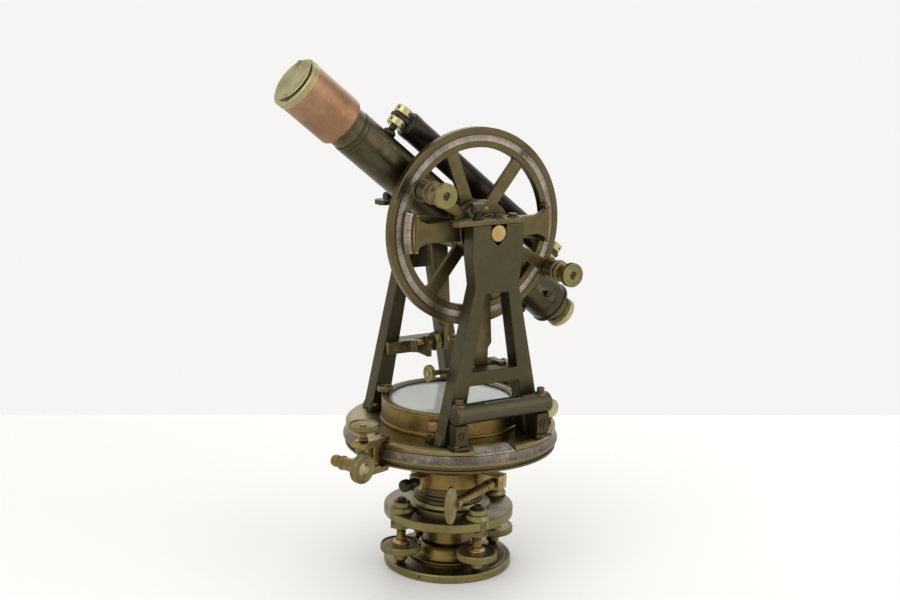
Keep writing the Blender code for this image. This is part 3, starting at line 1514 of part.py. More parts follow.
def make_axis_clamp(frame):
    near = AXIS_ARM_FACE
    far = near + AXIS_ARM_THICKNESS
    clamp = disc("axis_clamp_arm", AXIS_COLLAR_RADIUS, near, far, OLIVE_BRONZE, 0.0, ROUND)
    shift = AXIS_ARM_SHIFT
    arm = slab(
        "axis_arm_bar",
        [
            (-8 * MM, -AXIS_COLLAR_RADIUS * 0.6),
            (8 * MM, -AXIS_COLLAR_RADIUS * 0.6),
            (shift + 4.5 * MM, -AXIS_ARM_LENGTH + 22 * MM),
            (shift + 2.2 * MM, -AXIS_ARM_LENGTH + 20 * MM),
            (shift + 2.2 * MM, -AXIS_ARM_LENGTH),
            (shift - 2.2 * MM, -AXIS_ARM_LENGTH),
            (shift - 2.2 * MM, -AXIS_ARM_LENGTH + 20 * MM),
            (shift - 5.5 * MM, -AXIS_ARM_LENGTH + 22 * MM),
        ],
        near,
        far,
    )
    lug = box("axis_lug", (-8 * MM, near, AXIS_COLLAR_RADIUS * 0.7), (8 * MM, far, AXIS_SCREW_LIFT + 5 * MM))
    middle = (near + far) / 2
    screw_hole = rod("axis_screw_hole", 2.0 * MM + GAP, -12 * MM, 12 * MM)
    bake(aim(screw_hole, (0, middle, AXIS_SCREW_LIFT), (1, 0, 0)))
    tangent_hole = rod("axis_tangent_hole", 2.0 * MM + 2 * GAP, -12 * MM, 12 * MM)
    bake(aim(tangent_hole, (shift, middle, -TANGENT_SCREW_DROP), (1, 0, 0)))
    fuse(clamp, arm, lug)
    cut(clamp, disc("axis_clamp_bore", AXIS_BORE, near - MM, far + MM, None, 0.0, SMALL))
    cut(clamp, screw_hole, tangent_hole)
    hang(clamp, frame)
    screw = milled_screw(
        "axis_clamp_screw",
        3.6 * MM,
        AXIS_SCREW_REACH - 9 * MM,
        AXIS_SCREW_REACH,
        2.0 * MM,
        -10 * MM,
        AXIS_SCREW_REACH,
        BLACK,
    )
    aim(screw, TRUNNION + Vector((0, middle, AXIS_SCREW_LIFT)), (-1, 0, 0))
    make_tangent_screw(middle)


def make_tangent_screw(middle):
    height = TRUNNION_HEIGHT - TANGENT_SCREW_DROP
    left = AXIS_ARM_SHIFT - 2.2 * MM - TANGENT_TRAVEL
    right = AXIS_ARM_SHIFT + 2.2 * MM + TANGENT_TRAVEL
    ball = 4.3 * MM
    head = TANGENT_HEAD_RADIUS
    screw = turned(
        "telescope_tangent_screw",
        [
            (0, left - 18 * MM),
            (2.0 * MM, left - 18 * MM),
            (2.0 * MM, left - 4.6 * MM),
            (head - 0.8 * MM, left - 4.6 * MM),
            (head, left - 3.8 * MM),
            (head, left - 0.8 * MM),
            (head - 0.8 * MM, left),
            (2.0 * MM, left),
            (2.0 * MM, right),
        ]
        + arc(ball, right + ball, -ball * 0.85, ball * 0.85, 5)
        + [(0, right + 2 * ball)],
        AGED_BRASS,
        SMALL,
    )
    aim(screw, (0, middle, height), (1, 0, 0))
    lug_right = left - 4.6 * MM - 1.5 * MM
    lug_left = lug_right - 9 * MM
    face = STANDARD_INNER - GAP
    base = height - BRACKET_HEIGHT
    bracket = box(
        "tangent_bracket",
        (lug_left, face - BRACKET_DEPTH, base),
        (lug_right, face, base + BRACKET_HEIGHT),
        DARK_BRONZE,
    )
    outer = leg_line(LEG_FOOT_OUTER, LEG_TOP_OUTER, base)
    plate = box(
        "bracket_plate",
        (-outer + 3 * MM, face - BRACKET_DEPTH * 0.6, base),
        (lug_left + MM, face, base + BRACKET_HEIGHT),
    )
    lug = box(
        "bracket_lug",
        (lug_left, middle - 5 * MM, base),
        (lug_right, face - MM, height + 5 * MM),
    )
    hole = rod("bracket_hole", 2.0 * MM + GAP, lug_left - MM, lug_right + MM)
    bake(aim(hole, (0, middle, height), (1, 0, 0)))
    fuse(bracket, plate, lug)
    cut(bracket, hole)


def build():
    clear_scene()
    make_foot()
    make_upper_plate()
    make_limb()
    make_lower_clamp()
    make_vernier_plate()
    make_upper_clamp()
    make_compass()
    near = make_standard("near_standard", -1)
    make_clip_lugs(near)
    make_standard("far_standard", 1)
    make_bearing_cap("near_bearing_cap", -1)
    make_bearing_cap("far_bearing_cap", 1)
    make_plate_levels()
    telescope = frame_at("telescope_frame", TRUNNION, ELEVATION, "Y")
    make_telescope(telescope)
    make_tube_level(telescope)
    make_trunnion(telescope)
    make_vertical_circle(telescope)
    index = frame_at("index_axis", TRUNNION)
    make_index(index)
    make_clip_screws()
    make_magnifiers(frame_at("magnifier_axis", TRUNNION, math.pi - MAGNIFIER_TURN, "Y"))
    make_axis_clamp(frame_at("axis_clamp_axis", TRUNNION))


build()
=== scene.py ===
import math

import bmesh
import bpy
from mathutils import Matrix, Vector


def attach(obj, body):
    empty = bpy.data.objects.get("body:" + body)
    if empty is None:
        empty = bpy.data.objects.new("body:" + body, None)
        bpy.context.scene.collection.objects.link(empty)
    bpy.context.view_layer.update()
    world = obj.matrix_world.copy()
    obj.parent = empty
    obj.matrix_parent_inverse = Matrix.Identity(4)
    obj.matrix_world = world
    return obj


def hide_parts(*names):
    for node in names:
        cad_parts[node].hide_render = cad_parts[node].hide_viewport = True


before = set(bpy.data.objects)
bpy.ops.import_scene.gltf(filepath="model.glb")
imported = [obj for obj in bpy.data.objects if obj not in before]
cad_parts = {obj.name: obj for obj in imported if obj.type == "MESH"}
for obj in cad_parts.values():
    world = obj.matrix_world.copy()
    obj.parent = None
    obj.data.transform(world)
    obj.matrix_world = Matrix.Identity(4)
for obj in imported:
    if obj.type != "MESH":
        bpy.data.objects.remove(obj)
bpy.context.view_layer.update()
print("frame loaded:", len(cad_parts), "nodes")

# Every size below is in millimetres, made metres when a piece is finished.
pivotHeight = 274.5
elevation = 38.5
deck = 118.3
still = Matrix.Identity(4)


def turned(degrees, axis="Z"):
    return Matrix.Rotation(math.radians(degrees), 4, axis)


def moved(x, y, z):
    return Matrix.Translation((x, y, z))


pivotFrame = moved(0, 0, pivotHeight)
telescopeFrame = pivotFrame @ turned(elevation, "Y")
magnifierFrame = pivotFrame @ turned(30.5, "Y")
clampFrame = turned(197.5)


def stand(place, direction, base=still):
    # where a shape made along Z goes, to point another way
    turn = Vector(direction).to_track_quat("Z", "Y").to_matrix().to_4x4()
    return base @ moved(*place) @ turn


# shaping


def soften(bm, width):
    edges = [e for e in bm.edges if e.is_manifold and e.calc_face_angle(0) > math.radians(30)]
    bmesh.ops.bevel(bm, geom=edges, offset=width, offset_type="OFFSET", segments=2, profile=0.5,
                    affect="EDGES", clamp_overlap=True, material=-1)
    return bm


def settled(bm, place, soft):
    # the last step of every flat-sided shape
    if soft:
        soften(bm, soft)
    bm.transform(place)
    return bm


def lathe(profile, place=still, soft=0.25, steps=None, milled=None):
    # (radius, height) points turned about Z; a profile that leaves the axis open is closed into a ring
    widest = max(radius for radius, height in profile)
    steps = steps or min(144, max(32, 2 * int(widest * 1.5 + 12)))
    bm = bmesh.new()
    points = [bm.verts.new((radius, 0, height)) for radius, height in profile]
    for pair in zip(points, points[1:]):
        bm.edges.new(pair)
    if profile[0][0] > 0 or profile[-1][0] > 0:
        bm.edges.new((points[-1], points[0]))
    if soft:
        corners = [point for point in points if point.co.x > 0.01]
        bmesh.ops.bevel(bm, geom=corners, offset=soft, offset_type="OFFSET", segments=2, profile=0.5,
                        affect="VERTICES", clamp_overlap=True, material=-1)
    bmesh.ops.spin(bm, geom=bm.verts[:] + bm.edges[:], cent=(0, 0, 0), axis=(0, 0, 1), dvec=(0, 0, 0),
                   angle=math.tau, steps=steps, use_merge=True, use_duplicate=False)
    bmesh.ops.remove_doubles(bm, verts=bm.verts[:], dist=0.0005)
    if milled:
        # every other column beyond this radius is set back, as a fine knurl
        for point in bm.verts:
            column = round(math.atan2(point.co.y, point.co.x) / math.tau * steps)
            reach = point.co.xy.length
            if column % 2 and reach > milled:
                point.co.xy *= 1 - 0.3 / reach
    bmesh.ops.recalc_face_normals(bm, faces=bm.faces[:])
    bm.transform(place)
    return bm


def plank(outline, low, high, place=still, soft=0.4):
    # a flat (x, y) outline raised from low to high
    bm = bmesh.new()
    face = bm.faces.new([bm.verts.new((x, y, low)) for x, y in outline])
    raised = bmesh.ops.extrude_face_region(bm, geom=[face])["geom"]
    top = [item for item in raised if isinstance(item, bmesh.types.BMVert)]
    bmesh.ops.translate(bm, verts=top, vec=(0, 0, high - low))
    bmesh.ops.recalc_face_normals(bm, faces=bm.faces[:])
    return settled(bm, place, soft)


def wall(outline, low, high, place=still, soft=0.4):
    # an (x, z) outline raised along Y from low to high
    return plank([(x, -z) for x, z in outline], low, high, place @ turned(-90, "X"), soft)


def block(low, high, place=still, soft=0.4):
    bm = bmesh.new()
    bmesh.ops.create_cube(bm, size=1)
    bmesh.ops.scale(bm, verts=bm.verts[:], vec=[b - a for a, b in zip(low, high)])
    bmesh.ops.translate(bm, verts=bm.verts[:], vec=[(a + b) / 2 for a, b in zip(low, high)])
    return settled(bm, place, soft)


def sector(profile, start, sweep, place=still, soft=0.3):
    # a (radius, height) outline swept through part of a turn
    bm = bmesh.new()
    face = bm.faces.new([bm.verts.new((radius, 0, height)) for radius, height in profile])
    bmesh.ops.spin(bm, geom=[face], cent=(0, 0, 0), axis=(0, 0, 1), dvec=(0, 0, 0),
                   angle=math.radians(sweep), steps=24, use_duplicate=False)
    bmesh.ops.recalc_face_normals(bm, faces=bm.faces[:])
    return settled(bm, place @ turned(start), soft)


def ring(inner, outer, low, high, place=still, soft=0.25, steps=None):
    return lathe([(inner, low), (outer, low), (outer, high), (inner, high)], place, soft, steps)


def rod(radius, low, high, place=still, soft=0.25, steps=None):
    return ring(0, radius, low, high, place, soft, steps)


def chamfered(radius, low, high, under, over):
    # the rim of a turned disc, its lower and upper corner cut off at 45 degrees
    return [(radius - under, low), (radius, low + under), (radius, high - over), (radius - over, high)]


def ball(radius, height, place):
    rise = math.asin(0.97)
    turns = [rise * (step / 6 - 1) for step in range(13)]
    arc = [(radius * math.cos(turn), height + radius * math.sin(turn)) for turn in turns]
    return lathe([(0, arc[0][1])] + arc + [(0, arc[-1][1])], place, 0)


def meshOf(bm, name="shape"):
    mesh = bpy.data.meshes.new(name)
    bm.to_mesh(mesh)
    bm.free()
    return mesh


def linked(name, data):
    thing = bpy.data.objects.new(name, data)
    bpy.context.scene.collection.objects.link(thing)
    return thing


def evaluated(thing, merge):
    # an object's shape with its modifiers done, close points merged
    graph = bpy.context.evaluated_depsgraph_get()
    mesh = bpy.data.meshes.new_from_object(thing.evaluated_get(graph))
    bm = bmesh.new()
    bm.from_mesh(mesh)
    bpy.data.meshes.remove(mesh)
    bmesh.ops.remove_doubles(bm, verts=bm.verts[:], dist=merge)
    return bm


def carve(solid, *cutters):
    # the cutters' shapes taken out of the solid
    helpers = [linked("helper", meshOf(shape)) for shape in (solid, *cutters)]
    for cutter in helpers[1:]:
        modifier = helpers[0].modifiers.new("Carve", "BOOLEAN")
        modifier.operation = "DIFFERENCE"
        modifier.solver = "EXACT"
        modifier.object = cutter
    bm = evaluated(helpers[0], 0.0005)
    for helper in helpers:
        # the helper itself goes with its mesh
        bpy.data.meshes.remove(helper.data)
    return bm


def slotScrew(place, radius, height, turn=20):
    # a cheese head standing on its own base, with a driver slot
    head = rod(radius, 0, height, still, min(0.35, height * 0.3), 32)
    slot = block((-radius - 1, -radius * 0.13, height * 0.55), (radius + 1, radius * 0.13, height + 1),
                 turned(turn), 0)
    shape = carve(head, slot)
    shape.transform(place)
    return shape


def at(face):
    return face.calc_center_median()


def nodeOf(name):
    # screwBush2 stands in for the node screw_bush_2
    return "".join(letter if letter.islower() else "_" + letter.lower() for letter in name)


def make(name, parts, body, node=None):
    # joins (shape, material) pairs into one finished piece; further entries paint chosen faces
    whole = bmesh.new()
    materials = []
    for shape, material, *coats in parts:
        for one in [material] + [coat for coat, chosen in coats]:
            if one not in materials:
                materials.append(one)
        shape.normal_update()
        for face in shape.faces:
            face.material_index = materials.index(material)
            for coat, chosen in coats:
                if chosen(face):
                    face.material_index = materials.index(coat)
        mesh = meshOf(shape)
        whole.from_mesh(mesh)
        bpy.data.meshes.remove(mesh)
    bmesh.ops.scale(whole, verts=whole.verts[:], vec=(0.001, 0.001, 0.001))
    mesh = meshOf(whole, name)
    for material in materials:
        mesh.materials.append(material)
    mesh.shade_smooth()
    mesh.set_sharp_from_angle(angle=math.radians(38))
    piece = linked(name, mesh)
    piece.modifiers.new("Flat faces stay flat", "WEIGHTED_NORMAL").keep_sharp = True
    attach(piece, body)
    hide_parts(node or nodeOf(name))


# shading


def put(tree, kind, feeds, **settings):
    made = tree.nodes.new(kind)
    for key, value in settings.items():
        setattr(made, key, value)
    for key, value in feeds.items():
        if isinstance(value, bpy.types.NodeSocket):
            tree.links.new(value, made.inputs[key])
        else:
            made.inputs[key].default_value = value
    return made.outputs


def maths(tree, operation, first, second=0.0, clamp=False):
    return put(tree, "ShaderNodeMath", {0: first, 1: second}, operation=operation, use_clamp=clamp)[0]


def spread(tree, value, low, high, toLow=0.0, toHigh=1.0):
    feeds = {"Value": value, "From Min": low, "From Max": high, "To Min": toLow, "To Max": toHigh}
    return put(tree, "ShaderNodeMapRange", feeds)["Result"]


def blendColours(tree, factor, first, second):
    return put(tree, "ShaderNodeMix", {0: factor, 6: first, 7: second}, data_type="RGBA")[2]


def noise(tree, vector, scale, detail=3.0, rough=0.55):
    feeds = {"Vector": vector, "Scale": scale, "Detail": detail, "Roughness": rough}
    return put(tree, "ShaderNodeTexNoise", feeds)["Fac"]


def cylindrical(tree, vector):
    # a vector's x and y, its distance from the Z axis, and its z
    x, y, z = put(tree, "ShaderNodeSeparateXYZ", {0: vector})
    across = maths(tree, "MULTIPLY", x, x)
    along = maths(tree, "MULTIPLY", y, y)
    return x, y, maths(tree, "SQRT", maths(tree, "ADD", across, along)), z


def newGroup(name, inputs, outputs):
    tree = bpy.data.node_groups.new(name, "ShaderNodeTree")
    for way, sockets in (("INPUT", inputs), ("OUTPUT", outputs)):
        for label, kind in sockets.items():
            tree.interface.new_socket(label, in_out=way, socket_type="NodeSocket" + kind)
    return tree, tree.nodes.new("NodeGroupInput").outputs, tree.nodes.new("NodeGroupOutput").inputs


def patinaGroup():
    # clouded lacquer: a broad tone, a fine speckle, and the matt spots that go with them
    inputs = {"Vector": "Vector", "Base": "Color", "Dark": "Color", "Light": "Color", "Scale": "Float",
              "Spots": "Float"}
    tree, into, out = newGroup("patina", inputs, {"Color": "Color", "Matt": "Float", "Height": "Float"})
    vector, scale = into["Vector"], into["Scale"]
    cloud = noise(tree, vector, scale, 5.0, 0.6)
    speckle = noise(tree, vector, maths(tree, "MULTIPLY", scale, 9.0), 3.0)
    grain = noise(tree, vector, maths(tree, "MULTIPLY", scale, 40.0), 2.0)
    toned = blendColours(tree, spread(tree, cloud, 0.42, 0.68), into["Base"], into["Dark"])
    spots = maths(tree, "MULTIPLY", spread(tree, speckle, 0.56, 0.72), into["Spots"])
    tree.links.new(blendColours(tree, spots, toned, into["Light"]), out["Color"])
    broad = spread(tree, cloud, 0.3, 0.7, 0.0, 0.7)
    fine = spread(tree, speckle, 0.3, 0.7, 0.0, 0.3)
    tree.links.new(maths(tree, "ADD", broad, fine), out["Matt"])
    halves = [maths(tree, "MULTIPLY", part, 0.5) for part in (speckle, grain)]
    tree.links.new(maths(tree, "ADD", *halves), out["Height"])
    return tree


def edgeWearGroup():
    # where hands and cloths have rubbed the lacquer off the outer edges
    tree, into, out = newGroup("edgeWear", {"Vector": "Vector", "Amount": "Float"}, {"Mask": "Float"})
    pointiness = tree.nodes.new("ShaderNodeNewGeometry").outputs["Pointiness"]
    edge = spread(tree, pointiness, 0.52, 0.60)
    patchy = spread(tree, noise(tree, into["Vector"], 140.0, 4.0), 0.36, 0.56)
    mask = maths(tree, "MULTIPLY", maths(tree, "MULTIPLY", edge, patchy), into["Amount"], True)
    tree.links.new(mask, out["Mask"])
    return tree


def turningGroup():
    # the fine circles a lathe tool leaves, about the vector's Z
    tree, into, out = newGroup("turning", {"Vector": "Vector", "Scale": "Float"}, {"Height": "Float"})
    radius, z = cylindrical(tree, into["Vector"])[2:]
    place = put(tree, "ShaderNodeCombineXYZ", {0: radius, 1: z})[0]
    tree.links.new(noise(tree, place, into["Scale"], 2.0, 0.7), out["Height"])
    return tree


def divisionsGroup():
    # graduations round the vector's Z: short lines, and longer ones every tenth
    inputs = {"Vector": "Vector", "Count": "Float", "Inner": "Float", "Outer": "Float"}
    tree, into, out = newGroup("divisions", inputs, {"Mask": "Float"})
    x, y, radius = cylindrical(tree, into["Vector"])[:3]
    turn = maths(tree, "DIVIDE", maths(tree, "ARCTAN2", y, x), math.tau)
    share = spread(tree, radius, into["Inner"], into["Outer"])
    lines = []
    for every, width, reach in ((1.0, 0.16, 0.55), (10.0, 0.025, 0.15)):
        count = maths(tree, "DIVIDE", maths(tree, "MULTIPLY", turn, into["Count"]), every)
        offset = maths(tree, "SUBTRACT", maths(tree, "FRACT", count), 0.5)
        line = maths(tree, "LESS_THAN", maths(tree, "ABSOLUTE", offset), width)
        lines.append(maths(tree, "MULTIPLY", line, maths(tree, "GREATER_THAN", share, reach)))
    tree.links.new(maths(tree, "MAXIMUM", *lines), out["Mask"])
    return tree


groups = {"patina": patinaGroup(), "edgeWear": edgeWearGroup(), "turning": turningGroup(),
          "divisions": divisionsGroup()}


def useGroup(tree, name, feeds):
    return put(tree, "ShaderNodeGroup", feeds, node_tree=groups[name])


def centred(tree, axis):
    # object coordinates turned so that a shape's own axis is Z
    vector = tree.nodes.new("ShaderNodeTexCoord").outputs["Object"]
    if axis is None:
        return vector
    feeds = {"Vector": vector, "Location": axis.to_translation() * 0.001, "Rotation": axis.to_euler()}
    return put(tree, "ShaderNodeMapping", feeds, vector_type="TEXTURE")[0]


def newMaterial(name, axis=None):
    material = bpy.data.materials.new(name)
    material.use_nodes = True
    tree = material.node_tree
    return material, tree, tree.nodes["Principled BSDF"].inputs, centred(tree, axis)


def opaque(colour):
    return (*colour, 1.0)


def divide(tree, vector, colour, divisions, ink, strength):
    # darkens a colour where the divisions are cut
    count, inner, outer = divisions
    feeds = {"Vector": vector, "Count": count, "Inner": inner, "Outer": outer}
    mask = maths(tree, "MULTIPLY", useGroup(tree, "divisions", feeds)["Mask"], strength)
    return blendColours(tree, mask, colour, opaque(ink))


def metal(name, start, axis=None, **changes):
    look = {**start, **changes}
    material, tree, shader, vector = newMaterial(name, axis)
    feeds = {"Vector": vector, "Base": opaque(look["base"]), "Dark": opaque(look["dark"]),
             "Light": opaque(look["light"]), "Scale": look["scale"], "Spots": look["spots"]}
    patina = useGroup(tree, "patina", feeds)
    worn = useGroup(tree, "edgeWear", {"Vector": vector, "Amount": look["wear"]})["Mask"]
    colour = blendColours(tree, worn, patina["Color"], opaque(look["bare"]))
    height = patina["Height"]
    if look["marks"]:
        marks = useGroup(tree, "turning", {"Vector": vector, "Scale": 2200.0})["Height"]
        height = maths(tree, "ADD", height, maths(tree, "MULTIPLY", marks, look["marks"]))
    if "divisions" in look:
        colour = divide(tree, vector, colour, look["divisions"], (0.02, 0.017, 0.014), look["lines"])
    tree.links.new(colour, shader["Base Color"])
    rough = spread(tree, patina["Matt"], 0.0, 1.0, look["smooth"], look["rough"])
    rubbed = maths(tree, "MULTIPLY", worn, 0.12)
    tree.links.new(maths(tree, "SUBTRACT", rough, rubbed), shader["Roughness"])
    bump = put(tree, "ShaderNodeBump", {"Height": height, "Strength": look["bump"], "Distance": 0.0001})
    tree.links.new(bump[0], shader["Normal"])
    shader["Metallic"].default_value = look["metallic"]
    return material


plain = dict(scale=45.0, spots=0.15, wear=0.6, marks=0.0, bump=0.2, metallic=1.0, smooth=0.32, rough=0.46,
             lines=0.65, bare=(0.40, 0.31, 0.13))
oliveLook = dict(plain, base=(0.120, 0.094, 0.045), dark=(0.096, 0.074, 0.035), light=(0.155, 0.122, 0.058),
                 wear=0.25, smooth=0.36, rough=0.44)
darkLook = dict(plain, base=(0.070, 0.060, 0.036), dark=(0.050, 0.040, 0.023), light=(0.095, 0.080, 0.046),
                wear=0.5, smooth=0.30, rough=0.40)
standardLook = dict(plain, base=(0.078, 0.067, 0.038), dark=(0.070, 0.060, 0.034),
                    light=(0.088, 0.075, 0.042), wear=0.08, spots=0.06, smooth=0.42, rough=0.46, scale=18.0)
brassLook = dict(plain, base=(0.235, 0.165, 0.055), dark=(0.150, 0.100, 0.035), light=(0.36, 0.27, 0.10),
                 bare=(0.60, 0.46, 0.19))
paleLook = dict(plain, base=(0.47, 0.42, 0.225), dark=(0.31, 0.265, 0.13), light=(0.60, 0.55, 0.33),
                bare=(0.72, 0.64, 0.36))
brightLook = dict(plain, base=(0.52, 0.35, 0.15), dark=(0.34, 0.21, 0.085), light=(0.64, 0.46, 0.22),
                  bare=(0.72, 0.56, 0.30), smooth=0.22, rough=0.38, marks=0.8)
copperLook = dict(plain, base=(0.33, 0.185, 0.105), dark=(0.20, 0.098, 0.050), light=(0.40, 0.27, 0.17),
                  bare=(0.50, 0.34, 0.22), scale=24.0, spots=0.3, smooth=0.34, rough=0.46)
silverLook = dict(plain, base=(0.46, 0.40, 0.33), dark=(0.22, 0.17, 0.13), light=(0.66, 0.61, 0.54),
                  bare=(0.68, 0.63, 0.55), scale=70.0, spots=0.8, smooth=0.36, rough=0.56)
tarnishLook = dict(silverLook, base=(0.175, 0.140, 0.112), dark=(0.085, 0.064, 0.052),
                   light=(0.36, 0.31, 0.26), spots=0.6, scale=48.0, smooth=0.28, rough=0.44)
blackLook = dict(plain, base=(0.040, 0.033, 0.022), dark=(0.026, 0.021, 0.014), light=(0.065, 0.053, 0.034),
                 bare=(0.16, 0.125, 0.07), metallic=0.85, smooth=0.26, rough=0.42)
levelLook = dict(blackLook, base=(0.034, 0.026, 0.019), dark=(0.020, 0.016, 0.013),
                 light=(0.06, 0.048, 0.034), metallic=0.8)
topLook = dict(plain, base=(0.165, 0.128, 0.074), dark=(0.115, 0.086, 0.048), light=(0.24, 0.19, 0.115),
               smooth=0.22, rough=0.38, marks=0.6)
steelLook = dict(plain, base=(0.10, 0.12, 0.17), dark=(0.05, 0.06, 0.10), light=(0.24, 0.24, 0.26),
                 bare=(0.45, 0.45, 0.46), smooth=0.18, rough=0.34)

tubeAxis = stand((0, 0, 0), (-1, 0, 0), telescopeFrame)
circleAxis = stand((0, 0, 0), (0, -1, 0), telescopeFrame)
indexAxis = stand((0, 0, 0), (0, -1, 0), pivotFrame)

olive = metal("olive bronze", oliveLook)
oliveTurned = metal("olive bronze turned", oliveLook, marks=0.8)
oliveCircle = metal("olive bronze circle", oliveLook, circleAxis, marks=0.8)
brassCircle = metal("aged brass circle", brassLook, circleAxis, base=(0.34, 0.27, 0.12), marks=0.6)
standardBronze = metal("standard bronze", standardLook)
darkTube = metal("dark bronze tube", darkLook, tubeAxis, marks=0.7)
brass = metal("aged brass", brassLook)
brassTurned = metal("aged brass turned", brassLook, marks=0.8)
plateEdge = metal("greenish brass edge", oliveLook, base=(0.235, 0.200, 0.082), dark=(0.165, 0.138, 0.058),
                  light=(0.32, 0.285, 0.13), bare=(0.48, 0.42, 0.19), marks=0.7)
plateTop = metal("dark lacquered top", topLook)
deckBronze = metal("golden deck", oliveLook, base=(0.245, 0.195, 0.085), dark=(0.180, 0.140, 0.058),
                   light=(0.33, 0.27, 0.13), marks=0.8, smooth=0.26, rough=0.40)
levelBronze = metal("level bronze", standardLook, base=(0.088, 0.078, 0.048), dark=(0.074, 0.065, 0.040))
paleBrass = metal("pale brass", paleLook)
paleTube = metal("pale brass turned", paleLook, tubeAxis, marks=0.8)
brightBrass = metal("bright brass", brightLook)
copper = metal("copper", copperLook, tubeAxis)
silverLimb = metal("silver limb", tarnishLook, divisions=(1080.0, 0.0815, 0.0840), lines=0.35, marks=0.6)
silverCircle = metal("silver circle", tarnishLook, circleAxis, base=(0.34, 0.285, 0.235),
                     divisions=(720.0, 0.0643, 0.0687))
silverIndex = metal("silver index", tarnishLook, indexAxis, base=(0.40, 0.33, 0.265),
                    divisions=(720.0, 0.0585, 0.0640))
silverVernier = metal("silver vernier", silverLook, base=(0.54, 0.49, 0.42), metallic=0.55,
                      divisions=(720.0, 0.0745, 0.0815))
black = metal("black lacquer", blackLook)
levelBlack = metal("level black", levelLook, tubeAxis)
steel = metal("blued steel", steelLook)
print("materials ready")


# foot and levelling


def makeFoot():
    size = {"radius": 50.5, "top": 6.5, "groove": 46.5, "tray": 49.4, "flange": 31.0}
    radius, top, groove = size["radius"], size["top"], size["groove"]
    plate = lathe([(0, 0), (radius - 0.8, 0), (radius, 0.9), (radius, top - 1), (radius - 0.9, top),
                   (groove + 0.5, top), (groove, top - 0.3), (groove - 0.5, top), (0, top)])
    plate = carve(plate, rod(0.9, 47, 52, stand((0, 0, 3.0), (-0.84, -0.545, 0)), 0))
    inside = (plateTop, lambda face: face.normal.z > 0.6 and at(face).xy.length < size["tray"])
    make("footPlate", [(plate, plateEdge, inside)], "foot")
    socket = lathe([(21.6, 6.8), (size["flange"], 6.8), (size["flange"], 8.1), (27.2, 8.6), (25.9, 10.2),
                    (24.9, 12.6), (23.0, 15.6), (21.4, 17.4), (20.2, 17.6), (19.8, 17.4), (21.2, 12.0)])
    make("ballSocket", [(socket, brassTurned)], "foot")


def makeLevellingScrew(number, x, y):
    size = {"stem": 3.8, "turns": 16, "pitch": 0.8, "head": 16.0, "low": 16.5, "high": 22.5, "top": 53.6}
    radius, head, low, high = size["stem"], size["head"], size["low"], size["high"]
    stem = [(0, 6.8), (3.0, 6.8), (5.2, 9.4), (5.2, 13.4), (4.4, 15.2), (radius, 16.4), (radius, 26.6)]
    for turn in range(size["turns"]):
        rise = size["pitch"] * turn
        stem += [(radius, 27.0 + rise), (radius - 0.45, 27.4 + rise)]
    stem += [(radius, 40.0), (radius, size["top"]), (0, size["top"])]
    wheel = [(3.0, low), (head - 0.8, low), (head, low + 0.8), (head, high - 0.8), (head - 0.7, high),
             (head - 1.6, high), (head - 2.4, 21.8), (7.0, 21.6), (3.0, 21.6)]
    collar = [(3.0, 21.0), (6.6, 21.5), (6.6, 23.6), (5.4, 24.6), (4.8, 25.4), (3.0, 25.5)]
    place = moved(x, y, 0)
    dish = (plateTop, lambda face: face.normal.z > 0.5 and at(face).z < high - 0.2)
    parts = [(lathe(stem, place, 0.12), brass), (lathe(wheel, place, 0.2, 150, head - 0.3), plateEdge, dish),
             (lathe(collar, place, 0.3), brightBrass)]
    make(f"levellingScrew{number}", parts, f"levelling_screw_{number}_body")


def makeBush(number, x, y):
    size = {"nut": 9.5, "shank": 8.2, "collar": 9.6, "cap": 7.3, "bore": 6.5}
    bore, wide, dome = size["bore"], size["collar"], size["cap"]
    place = moved(x, y, 0)
    nut = ring(bore, size["nut"], 35.9, 40.4, place, 0.3, 6)
    shank = ring(bore, size["shank"], 40.0, 48.8, place, 0)
    collar = lathe([(bore, 48.5), (wide, 48.5), (wide, 49.9), (wide - 0.6, 51.3), (wide - 1.3, 52.6),
                    (wide - 2.2, 53.1), (bore, 53.1)], place)
    # a brass dome, hollow so that the screw has room to rise, with a dark stud on top
    cap = lathe([(bore, 53.0), (dome, 53.0), (dome - 0.2, 55.0), (dome - 0.5, 56.4), (dome - 1.5, 57.3),
                 (3.3, 57.5), (3.2, 59.2), (2.7, 59.7), (0, 59.7), (0, 57.1), (5.2, 56.9), (6.1, 56.2),
                 (bore, 54.5)], place, 0.12)
    lower = (plateEdge, lambda face: at(face).z < 57.4)
    parts = [(nut, olive), (shank, olive), (collar, plateEdge), (cap, black, lower)]
    make(f"screwBush{number}", parts, "upper_plate")


